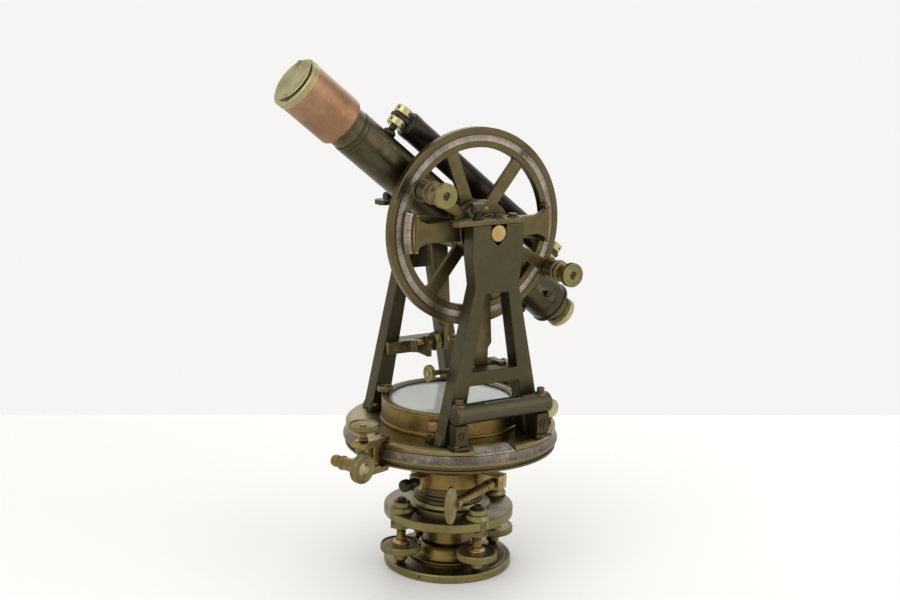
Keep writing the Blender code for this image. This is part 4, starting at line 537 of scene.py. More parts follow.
def makeUpperPlate():
    size = {"neck": 11.8, "pillar": 19.5, "plate": 51.1, "low": 40.7, "high": 48.2, "hole": 8.5,
            "circle": 43.0, "drum": 26.0, "socketBore": 16.3}
    neck, pillar, edge = size["neck"], size["pillar"], size["plate"]
    low, high, circle = size["low"], size["high"], size["circle"]
    plate = lathe([(0, 9.6), (10.6, 9.6), (neck, 10.6), (neck, 19.3), (pillar - 0.8, 19.3), (pillar, 20.2),
                   (pillar, 38.6), (20.9, low), (edge - 0.8, low), (edge, low + 0.9), (edge, high - 0.9),
                   (edge - 0.9, high), (33.1, high), (33.1, 50.4), (32.5, 51.0), (29.4, 51.4), (28.1, 54.3),
                   (0, 54.3)])
    spots = [(circle, 0), (0, circle), (-circle, 0), (0, -circle)]
    plate = carve(plate, *[rod(size["hole"], 38, 50, moved(x, y, 0), 0) for x, y in spots])
    dark = (plateTop, lambda face: face.normal.z > 0.6 and 28.5 < at(face).xy.length < edge - 1.1)
    gold = (brassTurned, lambda face: at(face).z < low - 0.2)
    make("upperPlate", [(plate, plateEdge, dark, gold)], "upper_plate",
         "upper_parallel_plate")
    drum, bore = size["drum"], size["socketBore"]
    socket = lathe([(bore, 54.6), (drum + 1.6, 54.6), (drum + 1.6, 57.2), (drum + 0.2, 57.6),
                    (drum + 0.2, 58.2), (drum + 1.2, 58.8), (drum + 1.2, 60.4), (drum, 61.2), (drum, 82.6),
                    (bore, 82.6)])
    make("spindleSocket", [(socket, oliveTurned)], "upper_plate")
    for number, (x, y) in enumerate(spots, start=1):
        makeBush(number, x, y)
        makeLevellingScrew(number, x, y)


makeFoot()
makeUpperPlate()
print("foot and levelling done")


# limb and vernier plate


def makeLimb():
    size = {"radius": 84.0, "top": 112.9, "bore": 9.8, "hub": 24.5, "spindle": 16.0}
    radius, top, bore, hub, spindle = size.values()
    body = lathe([(bore, 55.1), (spindle, 55.1), (spindle, 82.9), (hub, 82.9), (hub, 87.4), (27.0, 88.6),
                  (60.0, 96.9), (70.0, 99.9), (radius - 1.5, 99.9), (radius - 1.5, 101.6),
                  (radius - 3, 102.1), (radius - 3, 104.5), (radius, 105.3), (radius, 106.6),
                  (radius - 2.5, top), (bore, top)], still, 0.2)
    bevel = (silverLimb, lambda face: 106.5 < at(face).z < 112.8 and face.normal.z > 0.2)
    rim = (plateEdge, lambda face: 103 < at(face).z < 106.7 and at(face).xy.length > radius - 3)
    make("horizontalLimb", [(body, oliveTurned, bevel, rim)], "limb")


def makeLowerClamp():
    size = {"bore": 26.3, "outer": 30.3, "low": 67.6, "high": 81.6, "offset": 43.0, "middle": 74.6,
            "lugWay": (0.451, -0.893, 0), "tangentTurn": 197, "screwHole": 2.9}
    bore, outer, low, high, middle = (size[key] for key in ("bore", "outer", "low", "high", "middle"))
    collar = lathe([(bore, low), (outer - 0.7, low), (outer, low + 1), (outer, high - 1),
                    (outer - 0.7, high), (bore, high)])
    out = Vector(size["lugWay"])
    lugFrame = turned(math.degrees(math.atan2(out.y, out.x)))
    lug = block((27.3, -6.5, 68.8), (48.8, 6.5, 80.4), lugFrame, 0.9)
    split = block((24, -0.5, 66), (50, 0.5, 83), lugFrame, 0)
    hole = rod(size["screwHole"], -12, 12, stand((size["offset"], 0, middle), (0, 1, 0), lugFrame), 0)
    tangentPlace = stand((0, 0, middle), (1, 0, 0), turned(size["tangentTurn"]))
    arm = block((27.3, -6.5, 69.6), (40, 6.5, 79.6), turned(size["tangentTurn"]), 0.9)
    arm = carve(arm, rod(size["screwHole"], 32, 42, tangentPlace, 0))
    parts = [(collar, brassTurned), (carve(lug, split, hole), brass), (arm, brass)]
    make("lowerClampCollar", parts, "lower_clamp")
    place = stand(out * size["offset"] + Vector((0, 0, middle)), (out.y, -out.x, 0))
    shaft = lathe([(0, -8.5), (2.6, -8.5), (2.6, 8.5), (4.3, 9.6), (4.3, 15.8), (3.2, 17.2), (3.9, 19.5),
                   (4.1, 36), (3.6, 49), (3.0, 54), (4.4, 57.0), (4.4, 61.6), (0, 62.0)], place)
    # the thumb blade is an upright oval, thin across its sides
    upright = Matrix.Rotation(math.atan2(-out.x, out.y), 4, "Z")
    blade = lathe([(0, -2.0), (13.2, -2.0), (14.8, -1.0), (14.8, 1.0), (13.2, 2.0), (0, 2.0)], still, 0.5)
    blade.transform(Matrix.Diagonal((1, 0.44, 1, 1)))
    centre = place @ Vector((0, 0, 67.5))
    blade.transform(moved(*centre) @ upright @ turned(90, "X") @ turned(90))
    make("lowerClampScrew", [(shaft, brass), (blade, plateEdge)], "lower_clamp_thumb")
    knob = lathe([(0, 33), (2.6, 33), (2.6, 40.6), (3.8, 41), (3.8, 44.4), (2.9, 45.2), (2.9, 47.0),
                  (4.6, 48.0), (4.9, 49.2), (4.9, 52.6), (4.2, 54.0), (2.6, 54.5), (0, 54.5)], tangentPlace,
                 0.3)
    make("lowerTangentScrew", [(knob, black)], "lower_tangent")


def makeVernierPlate():
    size = {"radius": 82.0, "bore": 9.5, "low": 113.2, "high": 118.0, "turn": -97.0, "window": 24.0}
    radius, bore, low, high, turn, sweep = size.values()
    plate = lathe([(0, 55.5), (bore, 55.5), (bore, low), (radius - 0.4, low), (radius, low + 0.6),
                   (radius, 116.2), (radius - 1.4, 117.4), (radius - 2.4, 117.5), (radius - 3, high),
                   (0, high)], still, 0.2)
    start = turn - sweep / 2
    window = sector([(71, 112), (84, 112), (84, 120), (71, 120)], start, sweep, still, 0)
    make("vernierPlate", [(carve(plate, window), deckBronze)], "alidade")
    scale = sector([(71.3, 113.3), (81.8, 113.3), (81.8, 113.9), (74.0, 117.0), (71.3, 117.2)], start + 0.3,
                   sweep - 0.6)
    make("vernierScale", [(scale, silverVernier)], "alidade")


def makeUpperClamp():
    size = {"stem": 98.3, "tangent": 112.8, "height": 106.4, "width": 6.6, "hole": 2.9, "head": 11.0}
    width, hole, rim = size["width"], size["hole"], size["head"]
    stemPlace = clampFrame @ moved(size["stem"], 0, 0)
    across = stand((size["tangent"], 0, size["height"]), (0, 1, 0), clampFrame)
    top = wall([(76.4, 118.3), (84.3, 118.3), (86.5, 116.2), (104.5, 116.2), (104.5, 119.6), (102.5, 121.4),
                (78.5, 122.4), (76.4, 121.0)], -width, width, clampFrame, 0.8)
    bottom = wall([(76.4, 99.6), (84.6, 99.6), (86.4, 101.4), (104.5, 101.4), (104.5, 97.6), (101, 95.4),
                   (78.6, 95.0), (76.4, 96.6)], -width, width, clampFrame, 0.8)
    top, bottom = [carve(jaw, rod(hole, 90, 130, stemPlace, 0)) for jaw in (top, bottom)]
    post = block((86.2, -4.6, 100.5), (91.6, 4.6, 117.2), clampFrame, 0.8)
    sleeve = lathe([(hole, 100.8), (5.6, 100.8), (5.6, 104.0), (4.6, 105.0), (4.6, 112.8), (5.6, 113.8),
                    (5.6, 116.8), (hole, 116.8)], stemPlace, 0.3)
    barrel = lathe([(hole, -7.5), (5.0, -7.5), (5.4, -7.0), (5.4, -5.4), (4.8, -5.0), (4.8, 5.0), (5.4, 5.4),
                    (5.4, 7.0), (5.0, 7.5), (hole, 7.5)], across, 0.2)
    bridge = block((102.0, -3.2, 103.4), (109.4, 3.2, 109.4), clampFrame, 0.7)
    parts = [(top, brass), (bottom, brass), (post, brass), (sleeve, plateEdge), (barrel, brass),
             (bridge, brass)]
    for y in (-3.4, 3.4):
        parts.append((slotScrew(clampFrame @ moved(80.6, y, 122.0), 1.7, 1.1, 25), black))
    make("upperClampBlock", parts, "upper_clamp")
    stem = lathe([(0, 92.9), (2.6, 92.9), (2.6, 121.8), (3.8, 122.4), (3.8, 123.4), (2.7, 124.4),
                  (2.5, 127.4), (3.4, 128.8), (4.8, 129.8), (4.8, 131), (0, 131)], stemPlace)
    dish = lathe([(0, 129.3), (8.4, 129.3), (10.6, 130.4), (11.5, 131.6), (11.5, 134.2), (11.1, 134.8),
                  (10.2, 134.8), (9.4, 134.0), (2.0, 132.6), (0, 132.6)], stemPlace, 0.2, 132, 11.3)
    pin = slotScrew(stemPlace @ moved(0, 0, 132.4), 2.2, 1.6)
    make("upperClampScrew", [(stem, brass), (dish, plateEdge), (pin, paleBrass)], "upper_clamp_head")
    shaft = lathe([(0, -16.6), (2.6, -16.4), (4.2, -15.2), (4.6, -13.0), (4.2, -10.6), (2.9, -9.2),
                   (2.6, -8.6), (2.6, 10.8), (0, 10.8)], across, 0.3)
    head = lathe([(2.0, 10.5), (rim - 0.8, 10.5), (rim, 11.3), (rim, 15.2), (rim - 0.6, 16.0),
                  (rim - 1.8, 16.0), (rim - 2.4, 15.2), (2.0, 15.2)], across, 0.2, 132, rim - 0.2)
    cone = lathe([(0, 14.9), (5.2, 15.0), (3.4, 16.4), (3.0, 17.5), (0, 17.5)], across)
    make("upperTangentScrew", [(shaft, brass), (head, plateEdge), (cone, paleBrass)], "upper_tangent")


makeLimb()
makeLowerClamp()
makeVernierPlate()
makeUpperClamp()
print("limb, vernier plate and clamps done")


# compass


def makeCompass():
    size = {"radius": 54.3, "rim": 134.3, "inner": 50.0, "ledge": 132.0, "well": 48.6, "floor": 120.9,
            "bezelLow": 134.6, "bezelHigh": 136.5, "stemHole": 1.9, "knob": 6.5}
    radius, rim, inner, ledge, well, floor, low, high, stemHole, knob = size.values()
    place = moved(-40.5, 32.8, 0)
    box = lathe([(0, deck), (radius + 1.2, deck), (radius + 1.2, 120.0), (radius, 120.6),
                 (radius, rim - 0.4), (radius - 0.4, rim), (inner, rim), (inner, ledge), (well, ledge),
                 (well, floor), (0, floor)])
    box = carve(box, rod(stemHole, 126, 138, place, 0))
    lug = plank([(54.0, -7.0), (58.6, -7.0), (58.6, 2.5), (57.0, 9.0), (54.0, 11.5)], 124.0, 131.5,
                turned(-132), 0.5)
    make("compassBox", [(box, brassTurned), (lug, brass)], "alidade")
    glass = rod(inner - 0.3, ledge + 0.3, rim - 0.3, still, 0.15)
    make("compassGlass", [(glass, clearGlass)], "alidade")
    bezel = lathe([(47.5, low), (radius, low), (radius, high - 0.5), (radius - 0.7, high), (51.0, high),
                   (50.2, 135.9), (48.5, 135.6), (47.7, 135.2)], still, 0.15)
    bezel = carve(bezel, rod(stemHole, 130, 140, place, 0))
    dark = (black, lambda face: at(face).xy.length < inner + 0.4)
    make("compassBezel", [(bezel, brassTurned, dark)], "alidade")
    stem = rod(1.6, 126.8, 137.4, place)
    head = lathe([(0, 136.8), (5.8, 136.8), (knob, 137.4), (knob, 140.2), (6.0, 141.0), (5.0, 141.0),
                  (4.4, 140.4), (0, 140.2)], place, 0.2, 84, knob - 0.2)
    pin = slotScrew(place @ moved(0, 0, 140.0), 1.5, 0.9)
    make("needleLifter", [(stem, brass), (head, plateEdge), (pin, paleBrass)], "needle_lifter",
         "needle_lifter_screw")


def figureShape(text):
    # one number lying flat, as thick as a coat of paint
    curve = bpy.data.curves.new("figure", "FONT")
    curve.body = text
    curve.size = 4.4
    curve.align_x = "CENTER"
    curve.align_y = "CENTER"
    curve.extrude = 0.05
    curve.resolution_u = 3
    bm = evaluated(linked("figure", curve), 0.001)
    bpy.data.curves.remove(curve)
    return bm


def makeDial():
    size = {"ring": 42.8, "edge": 48.3, "low": 121.2, "floor": 122.7, "high": 125.9, "figures": 37.6,
            "ink": 122.78, "longPoint": 27.0, "shortPoint": 17.0}
    inner, edge, low, floor, high, figures, ink, longPoint, shortPoint = size.values()
    face = lathe([(0, low), (edge, low), (edge, high - 0.3), (edge - 0.3, high), (inner + 0.4, high),
                  (inner, high - 0.4), (inner, floor), (3.4, floor), (2.4, 123.4), (0.9, 127.4),
                  (0.45, 129.0), (0, 129.1)], still, 0.1)
    divided = (dialRing, lambda side: side.normal.z > 0.9 and at(side).z > high - 0.9)
    parts = [(face, dialPaper, divided)]
    # a plain eight-pointed star and the degree numbers, sunk flat into the dial
    for point in range(8):
        reach = shortPoint if point % 2 else longPoint
        star = plank([(6.0, -2.3), (reach, 0), (6.0, 2.3), (3.6, 0)], floor - 0.1, ink,
                     turned(45 * point + 22.5), 0)
        parts.append((star, dialInk))
    for number in range(0, 360, 30):
        figure = figureShape(str(min(number, 360 - number)))
        figure.transform(turned(number) @ moved(figures, 0, ink) @ turned(-90))
        parts.append((figure, dialInk))
    make("compassDial", parts, "alidade")


def makeNeedle():
    size = {"reach": 41.3, "halfWidth": 3.5, "low": 129.1, "high": 130.1, "hub": 4.2, "lie": 60}
    reach, wide, low, high, hub, lie = size.values()
    north = plank([(0, -wide), (reach, 0), (0, wide)], low, high, turned(lie), 0.2)
    south = plank([(0, wide), (-reach, 0), (0, -wide)], low, high, turned(lie), 0.2)
    cap = lathe([(1.9, 128.5), (hub, 128.5), (hub, 130.2), (3.4, 131.2), (1.6, 131.7), (0, 131.7),
                 (0, 130.0), (1.9, 130.0)], still, 0.2)
    weight = block((-27, -2.2, 128.9), (-24, 2.2, 130.4), turned(lie), 0.3)
    make("compassNeedle", [(north, steel), (south, paleBrass), (cap, brightBrass), (weight, brightBrass)],
         "needle")


def glassMaterial(name, tint, haze, clear):
    material, tree, shader, vector = newMaterial(name)
    smear = noise(tree, vector, 55.0, 4.0, 0.6)
    dimmer = [part * 0.93 for part in tint]
    colour = blendColours(tree, spread(tree, smear, 0.35, 0.7), opaque(tint), opaque(dimmer))
    tree.links.new(colour, shader["Base Color"])
    tree.links.new(spread(tree, smear, 0.35, 0.7, haze * 0.5, haze), shader["Roughness"])
    shader["Transmission Weight"].default_value = clear
    shader["IOR"].default_value = 1.45
    return material


def paperMaterial(name, base, dark, divisions=None):
    material, tree, shader, vector = newMaterial(name)
    feeds = {"Vector": vector, "Base": opaque(base), "Dark": opaque(dark), "Light": opaque(base),
             "Scale": 50.0, "Spots": 0.3}
    patina = useGroup(tree, "patina", feeds)
    colour = patina["Color"]
    if divisions:
        colour = divide(tree, vector, colour, divisions, (0.02, 0.02, 0.02), 1.0)
    tree.links.new(colour, shader["Base Color"])
    tree.links.new(spread(tree, patina["Matt"], 0.0, 1.0, 0.38, 0.55), shader["Roughness"])
    shader["Metallic"].default_value = 0.25
    return material


clearGlass = glassMaterial("compass glass", (0.86, 0.88, 0.84), 0.10, 0.45)
coatedGlass = glassMaterial("lens glass", (0.62, 0.70, 0.74), 0.04, 1.0)
dialPaper = paperMaterial("silvered dial", (0.80, 0.82, 0.76), (0.66, 0.68, 0.62))
dialRing = paperMaterial("silvered ring", (0.74, 0.74, 0.68), (0.60, 0.60, 0.54), (360.0, 0.0428, 0.0483))
dialInk = paperMaterial("dial ink", (0.035, 0.033, 0.032), (0.07, 0.065, 0.06))
makeCompass()
makeDial()
makeNeedle()
print("compass done")


# standards and bearings


def makeStandard(name, side):
    size = {"near": 48.0, "far": 61.0, "shoulder": 236.0, "arch": 230.0, "barLow": 161.3, "barHigh": 171.8,
            "notch": 6.5, "outerFoot": 44.5, "outerTop": 19, "innerFoot": 29, "innerTop": 9}
    shoulder, notch = size["shoulder"], size["notch"]
    low, high = sorted((side * size["near"], side * size["far"]))
    half = [(size["outerFoot"], deck), (size["outerTop"], shoulder), (22, 256), (22, 281)]
    shape = wall(half + [(-x, z) for x, z in reversed(half)], low, high, still, 0)

    def legX(height):
        # how far out the inside of a leg is at this height
        share = (height - deck) / (shoulder - deck)
        return size["innerFoot"] + (size["innerTop"] - size["innerFoot"]) * share

    openings = [[(legX(base), base), (legX(top), top), (-legX(top), top), (-legX(base), base)]
                for base, top in ((size["barHigh"], size["arch"]), (deck - 1, size["barLow"]))]
    openings.append([(notch, 283), (-notch, 283), (-notch, 271.8), (0, 265.3), (notch, 271.8)])
    shape = carve(shape, *[wall(opening, low - 1, high + 1, still, 0) for opening in openings])
    bmesh.ops.dissolve_limit(shape, angle_limit=math.radians(0.5), verts=shape.verts[:],
                             edges=shape.edges[:])
    parts = [(soften(shape, 0.7), standardBronze)]
    for hand in (-1, 1):
        near, far = sorted((side * 41.5, side * 49.5))
        left, right = sorted((hand * 38, hand * 48.5))
        parts.append((block((left, near, deck), (right, far, deck + 4), still, 0.6), standardBronze))
        parts.append((slotScrew(moved(hand * 42.5, side * 44.6, 122.2), 2.4, 1.6, 30), brass))
        # the leg spreads into a small foot on its outer face
        toe = [(hand * 44.4, deck + 0.1), (hand * 46.6, deck + 0.1), (hand * 42.6, 126)]
        parts.append((wall(toe, low + 1, high - 1, still, 0.3), standardBronze))
    if side < 0:
        # two lugs inside the near standard hold the clip screws
        for left, right in ((-16.8, -10.8), (10.8, 16.8)):
            lug = block((left, -51, 162.3), (right, -33.5, 174), still, 0.8)
            hole = rod(2.3, -20, 20, stand((0, -38, 168.5), (1, 0, 0)), 0)
            parts.append((carve(lug, hole), olive))
    make(name, parts, "alidade")


def makeBearingCap(name, side):
    size = {"low": 281.3, "high": 285.3, "left": -38.0, "right": 22.0, "post": -15.0 if side < 0 else -8.0}
    low, high, left, right, post = size.values()
    near, far = sorted((side * 48.5, side * 61.5))
    middle = (near + far) / 2
    outline = [(left, near + 3), (left + 3, near), (right, near), (right, far), (left + 3, far),
               (left, far - 3)]
    plate = plank(outline, low, high, still, 0.6)
    stem = lathe([(0, 285), (4.2, 285), (4.2, 286.4), (3.0, 287.0), (3.0, 291.2), (0, 291.2)],
                 moved(post, middle, 0))
    thumb = block((-5.5, -2, 290.1), (5.5, 2, 297.3), moved(post, middle, 0), 1.2)
    parts = [(plate, olive if side < 0 else standardBronze), (stem, black), (thumb, black)]
    for x in (3.0, 15.5):
        parts.append((rod(4.6, high - 0.1, high + 0.9, moved(x, middle, 0)), olive))
        parts.append((slotScrew(moved(x, middle, high + 0.8), 3.2, 1.6, 10), black))
    make(name, parts, "alidade")


def levelTube(place, radius, half, window):
    # a capped tube about Z with a window cut in its top
    tube = lathe([(0, -half), (radius * 0.92, -half), (radius, 0.8 - half), (radius, 4.5 - half),
                  (radius - 0.35, 4.9 - half), (radius - 0.35, half - 4.9), (radius, half - 4.5),
                  (radius, half - 0.8), (radius * 0.92, half), (0, half)], place, 0.2)
    return carve(tube, window)


def makePlateLevels():
    size = {"frontY": -69.7, "frontZ": 144.0, "frontRadius": 8.0, "frontPosts": 36,
            "sideX": 64.3, "sideY": -10, "sideZ": 128.5, "sideRadius": 7.5, "sidePosts": 26}
    y, z, sideX, sideY, sideZ = (size[key] for key in ("frontY", "frontZ", "sideX", "sideY", "sideZ"))
    window = block((-17, -3.4, 5.0), (17, 3.4, 10), moved(1, y, z), 0)
    tube = levelTube(stand((1, y, z), (1, 0, 0)), size["frontRadius"], 41.5, window)
    vial = rod(4.6, -18, 18, stand((1, y, z + 1.6), (1, 0, 0)))
    parts = [(tube, levelBronze), (vial, vialGlass)]
    for hand in (-1, 1):
        x = hand * size["frontPosts"]
        post = block((x - 5.5, -74.6, deck), (x + 5.5, -65.0, 136.6), still, 0.8)
        flange = block((x - 7, -76.6, deck), (x + 7, -64.9, deck + 2.5), still, 0.7)
        nut = lathe([(0, 149.0), (4.6, 149.4), (4.6, 151.8), (2.9, 152.4), (2.9, 155.4), (2.2, 156),
                     (0, 156)], moved(x, y, 0), 0.2)
        face = slotScrew(stand((x, -74.1, 128.5), (0, -1, 0)), 3.0, 1.4, 70)
        holder = slotScrew(moved(x + hand * 4.5, -74.0, 120.7), 1.8, 1.1, 45)
        parts += [(post, brownBronze), (flange, brownBronze), (nut, redBrass), (face, brownBronze),
                  (holder, brass)]
    make("plateLevelFront", parts, "alidade")
    window = block((-3.2, -14, 4.6), (3.2, 14, 10), moved(sideX, sideY, sideZ), 0)
    tube = levelTube(stand((sideX, sideY, sideZ), (0, 1, 0)), size["sideRadius"], 35.0, window)
    vial = rod(4.3, -15, 15, stand((sideX, sideY, sideZ + 1.5), (0, 1, 0)))
    ends = (paleBrass, lambda face: abs(face.normal.y) > 0.9)
    parts = [(tube, levelBronze, ends), (vial, vialGlass)]
    for y in (sideY - size["sidePosts"], sideY + size["sidePosts"]):
        post = block((sideX - 4.5, y - 4.5, deck), (sideX + 4.5, y + 4.5, deck + 6.4), still, 0.7)
        nut = lathe([(0, 134.0), (4.4, 134.4), (4.4, 136.6), (2.8, 137.2), (2.8, 139.6), (2.2, 140),
                     (0, 140)], moved(sideX, y, 0), 0.2)
        parts += [(post, brownBronze), (nut, redBrass)]
    make("plateLevelSide", parts, "alidade")


vialGlass = paperMaterial("vial glass", (0.20, 0.23, 0.15), (0.13, 0.15, 0.10))
brownBronze = metal("brown bronze", standardLook, base=(0.060, 0.046, 0.030), dark=(0.044, 0.033, 0.021))
redBrass = metal("reddish brass", brassLook, base=(0.115, 0.070, 0.042), dark=(0.070, 0.042, 0.026))
makeStandard("nearStandard", -1)
makeStandard("farStandard", 1)
makeBearingCap("nearBearingCap", -1)
makeBearingCap("farBearingCap", 1)
makePlateLevels()
print("standards and plate levels done")


# telescope; s below is the distance from the trunnion towards the objective


def onTube(s, direction):
    return stand((-s, 0, 0), direction, telescopeFrame)


def makeTelescope():
    size = {"radius": 16.75, "bore": 15.0, "front": 116.0, "rear": -115.0, "groove": 0.35, "reticle": -97.5}
    radius, bore, front, rear, groove, reticle = size.values()
    shallow = radius - groove
    tube = lathe([(bore, rear), (shallow, rear), (radius, rear + 0.4), (radius, -108.2), (shallow, -107.8),
                  (shallow, -107.2), (radius, -106.8), (radius, 111.2), (radius - 0.3, 111.5),
                  (radius - 0.3, 112.1), (radius, 112.4), (radius, front - 0.5), (shallow, front),
                  (bore, front)], tubeAxis, 0.15)
    cutters = [rod(2.1, -25, 25, onTube(reticle, way), 0) for way in ((0, 0, 1), (0, 1, 0))]
    cutters.append(rod(2.8, 0, 25, onTube(45, (0, 1, 0)), 0))
    cutters.append(rod(0.7, 14, 20, onTube(92, (0, -0.85, 0.5)), 0))
    parts = [(carve(tube, *cutters), darkTube)]
    for s in (60, -60):
        parts.append((slotScrew(onTube(s, (0, -1, 0)) @ moved(0, 0, 16.3), 1.9, 1.2, 50), darkTube))
    make("telescopeTube", parts, "telescope")
    flange = lathe([(11.8, -118.3), (16.2, -118.3), (17.4, -117.4), (17.4, -115.3), (11.8, -115.3)],
                   tubeAxis)
    make("eyepieceFlange", [(flange, darkTube)], "telescope")
    parts = [(ring(9, 14.7, reticle - 2.5, reticle + 2.5, tubeAxis), brass)]
    for way in ((0, 0, 1), (0, 0, -1), (0, 1, 0), (0, -1, 0)):
        place = onTube(reticle, way)
        screw = lathe([(0, 10.5), (1.8, 10.5), (1.8, radius + 1), (2.8, radius + 1), (2.8, 20.0),
                       (2.3, 20.35), (0, 20.35)], place, 0.15)
        holes = [rod(0.55, -4, 4, stand((0, 0, 19.0), turn, place), 0,
                     16) for turn in ((1, 0, 0), (0, 1, 0))]
        parts.append((carve(screw, *holes), brownBronze))
    make("reticleRing", parts, "telescope")


def makeObjective():
    size = {"cell": 16.2, "slide": 14.7, "bore": 12.8, "seat": 14.6, "front": 150.3, "joint": 116.3,
            "shade": 19.5, "shadeBore": 16.5}
    cell, slide, bore, seat, front, joint, shade, shadeBore = size.values()
    tube = lathe([(bore, 60.3), (slide, 60.3), (slide, joint), (cell, joint), (cell, front - 0.7),
                  (cell - 0.6, front), (seat, front), (seat, 145.7), (bore, 145.7)], tubeAxis)
    make("objectiveSlide", [(tube, darkTube)], "objective")
    lens = lathe([(0, 146.0), (14.3, 146.0), (14.3, 149.0), (11.5, 149.4), (8.0, 149.75), (4, 149.95),
                  (0, 150.0)], tubeAxis, 0)
    make("objectiveLens", [(lens, coatedGlass)], "objective")
    sleeve = lathe([(shadeBore, 125.3), (17.6, 125.3), (18.6, 125.7), (19.2, 126.4), (shade, 127.4),
                    (shade, 168.3), (shadeBore, 168.3)], tubeAxis, 0.2)
    make("dewShade", [(sleeve, copper)], "shade")


def makeCap():
    size = {"radius": 20.0, "plug": 16.2, "bore": 14.4, "seat": 168.6, "face": 174.2, "lid": 17.3,
            "groove": 0.5, "lugs": 15.8}
    radius, plug, bore, seat, face, lid, groove, lugs = size.values()
    shell = [(bore, 161.6), (plug, 161.6), (plug, seat), (radius, seat)]
    for s in (169.4, 170.6, 171.8):
        shell += [(radius, s), (radius - groove, s + 0.2), (radius - groove, s + 0.4), (radius, s + 0.6)]
    shell += [(radius, 173.2), (radius - 0.6, 174.0), (radius - 2.1, face), (plug, face), (plug, 173.4),
              (bore, 173.4)]
    cover = lathe([(0, 175.1), (lid - 0.4, 175.1), (lid, 175.4), (lid, 175.8), (lid - 0.4, 176.1),
                   (0, 176.2)], tubeAxis @ moved(0.5, 0.5, 0), 0.1)
    # the black rod showing between the cap ring and the lid is painted shade: a dark sheet for the shade in
    # the gap round the lid
    parts = [(lathe(shell, tubeAxis, 0.1), paleTube), (rod(16.6, 173.0, 175.3, tubeAxis, 0), black),
             (cover, paleTube)]
    # two slotted lugs on one diameter hold the lid
    for hand in (0, 180):
        place = tubeAxis @ turned(hand - 63) @ moved(lugs, 0, 0)
        lug = carve(rod(2.1, 174.3, 176.3, place, 0.2, 32), block((-3, -0.35, 175.6), (3, 0.35, 177), place,
                                                                  0))
        # the black disc under each lug is painted shade: a dark ring for the shade in the gap round the lug
        parts += [(lug, paleTube), (rod(2.6, 174.0, 176.22, place, 0, 32), black)]
    make("objectiveCap", parts, "lens_cap")


def makeEyepiece():
    size = {"tube": 11.5, "bore": 8.0, "cup": 12.6, "hole": 3.0, "sleeve": -128.7}
    radius, bore, rim, hole, sleeveEnd = size.values()
    tube = lathe([(bore, -130), (radius - 0.3, -130), (radius, -129.6), (radius, -102), (bore, -102)],
                 tubeAxis, 0.15)
    make("eyepieceTube", [(tube, oliveTube)], "eyepiece")
    cup = lathe([(11.8, -124.9), (12.0, -124.9), (12.1, -125.2), (12.1, -128.6), (rim - 0.3, -128.9),
                 (rim, -129.2), (rim, -132.7), (11.4, -133.9), (9.6, -133.9), (8.4, -133.2), (5.0, -133.0),
                 (hole, -132.2), (hole, -130.3), (11.8, -130.3)], tubeAxis, 0.12, 120, rim - 0.15)
    fromTube = tubeAxis.inverted()
    sleeve = (oliveTube, lambda face: (fromTube @ at(face)).z > sleeveEnd)
    make("eyecup", [(cup, paleTube, sleeve)], "eyepiece")
    lens = lathe([(0, -124.0), (7.7, -125.0), (7.7, -127.5), (5, -128.1), (0, -128.5)], tubeAxis, 0)
    make("eyeLens", [(lens, coatedGlass)], "eyepiece")


def makeFocus():
    size = {"stem": 2.5, "head": 8.0, "low": 17.75, "high": 22.6}
    stem, head, low, high = size.values()
    place = onTube(45, (0, 1, 0))
    knob = lathe([(0, 15.6), (stem, 15.6), (stem, low), (head - 0.6, low), (head, 18.3), (head, high - 0.6),
                  (head - 0.6, high), (5.6, high), (4.8, high - 0.6), (0, high - 0.6)], place, 0.2, 108,
                 head - 0.2)
    make("focusKnob", [(knob, brass), (slotScrew(place @ moved(0, 0, 21.9), 1.9, 0.85), black)], "focus")


def makeTubeLevel():
    size = {"radius": 10.3, "lift": 31.8, "end": 82.0, "waist": 74.2, "stud": 89.15, "nut": 6.6, "post": 5.0}
    radius, lift, end, waist, studAt, wide, post = size.values()
    lifted = telescopeFrame @ moved(0, 0, lift)
    axis = stand((0, 0, 0), (-1, 0, 0), lifted)
    half = [(8.6, end), (radius - 0.5, end - 0.6), (radius, end - 1.6), (radius, waist + 0.4),
            (radius - 0.35, waist)]
    case = lathe([(0, -end)] + [(r, -z) for r, z in half] + half[::-1] + [(0, end)], axis, 0.2)
    case = carve(case, block((-42, -4.2, 6.0), (42, 4.2, 12), lifted, 0))
    ends = (greyEnd, lambda face: abs(face.normal.dot(tubeWay)) > 0.9)
    parts = [(case, levelBlack, ends), (rod(6.4, -44, 44, axis, 0.3), vialGlass)]
    for hand in (-1, 1):
        near, far = sorted((hand * 81, hand * 95))
        lug = block((near, -5, 30.1), (far, 5, 33.5), telescopeFrame, 0.7)
        hole = rod(2.9, 28, 36, telescopeFrame @ moved(hand * studAt, 0, 0), 0)
        parts.append((carve(lug, hole), brownBronze))
    make("telescopeLevel", parts, "telescope")
    for name, hand in (("Front", -1), ("Rear", 1)):
        place = telescopeFrame @ moved(hand * studAt, 0, 0)
        stud = lathe([(0, 16.8), (post, 16.8), (post, 18.4), (post - 0.6, 19.4), (2.6, 20.8), (2.6, 40),
                      (0, 40)], place, 0.2)
        parts = [(stud, brownBronze)]
        for low, high in ((23.8, 29.8), (33.8, 39.8)):
            nut = lathe([(0, low)] + chamfered(wide, low, high, 0.5, 0.5) + [(0, high)], place, 0.2)
            holes = [rod(0.95, -9, 9, stand((0, 0, (low + high) / 2), way, place), 0, 20)
                     for way in ((1, 0.3, 0), (-0.3, 1, 0))]
            parts.append((carve(nut, *holes), paleBrass))
        make(f"levelPost{name}", parts, "telescope")


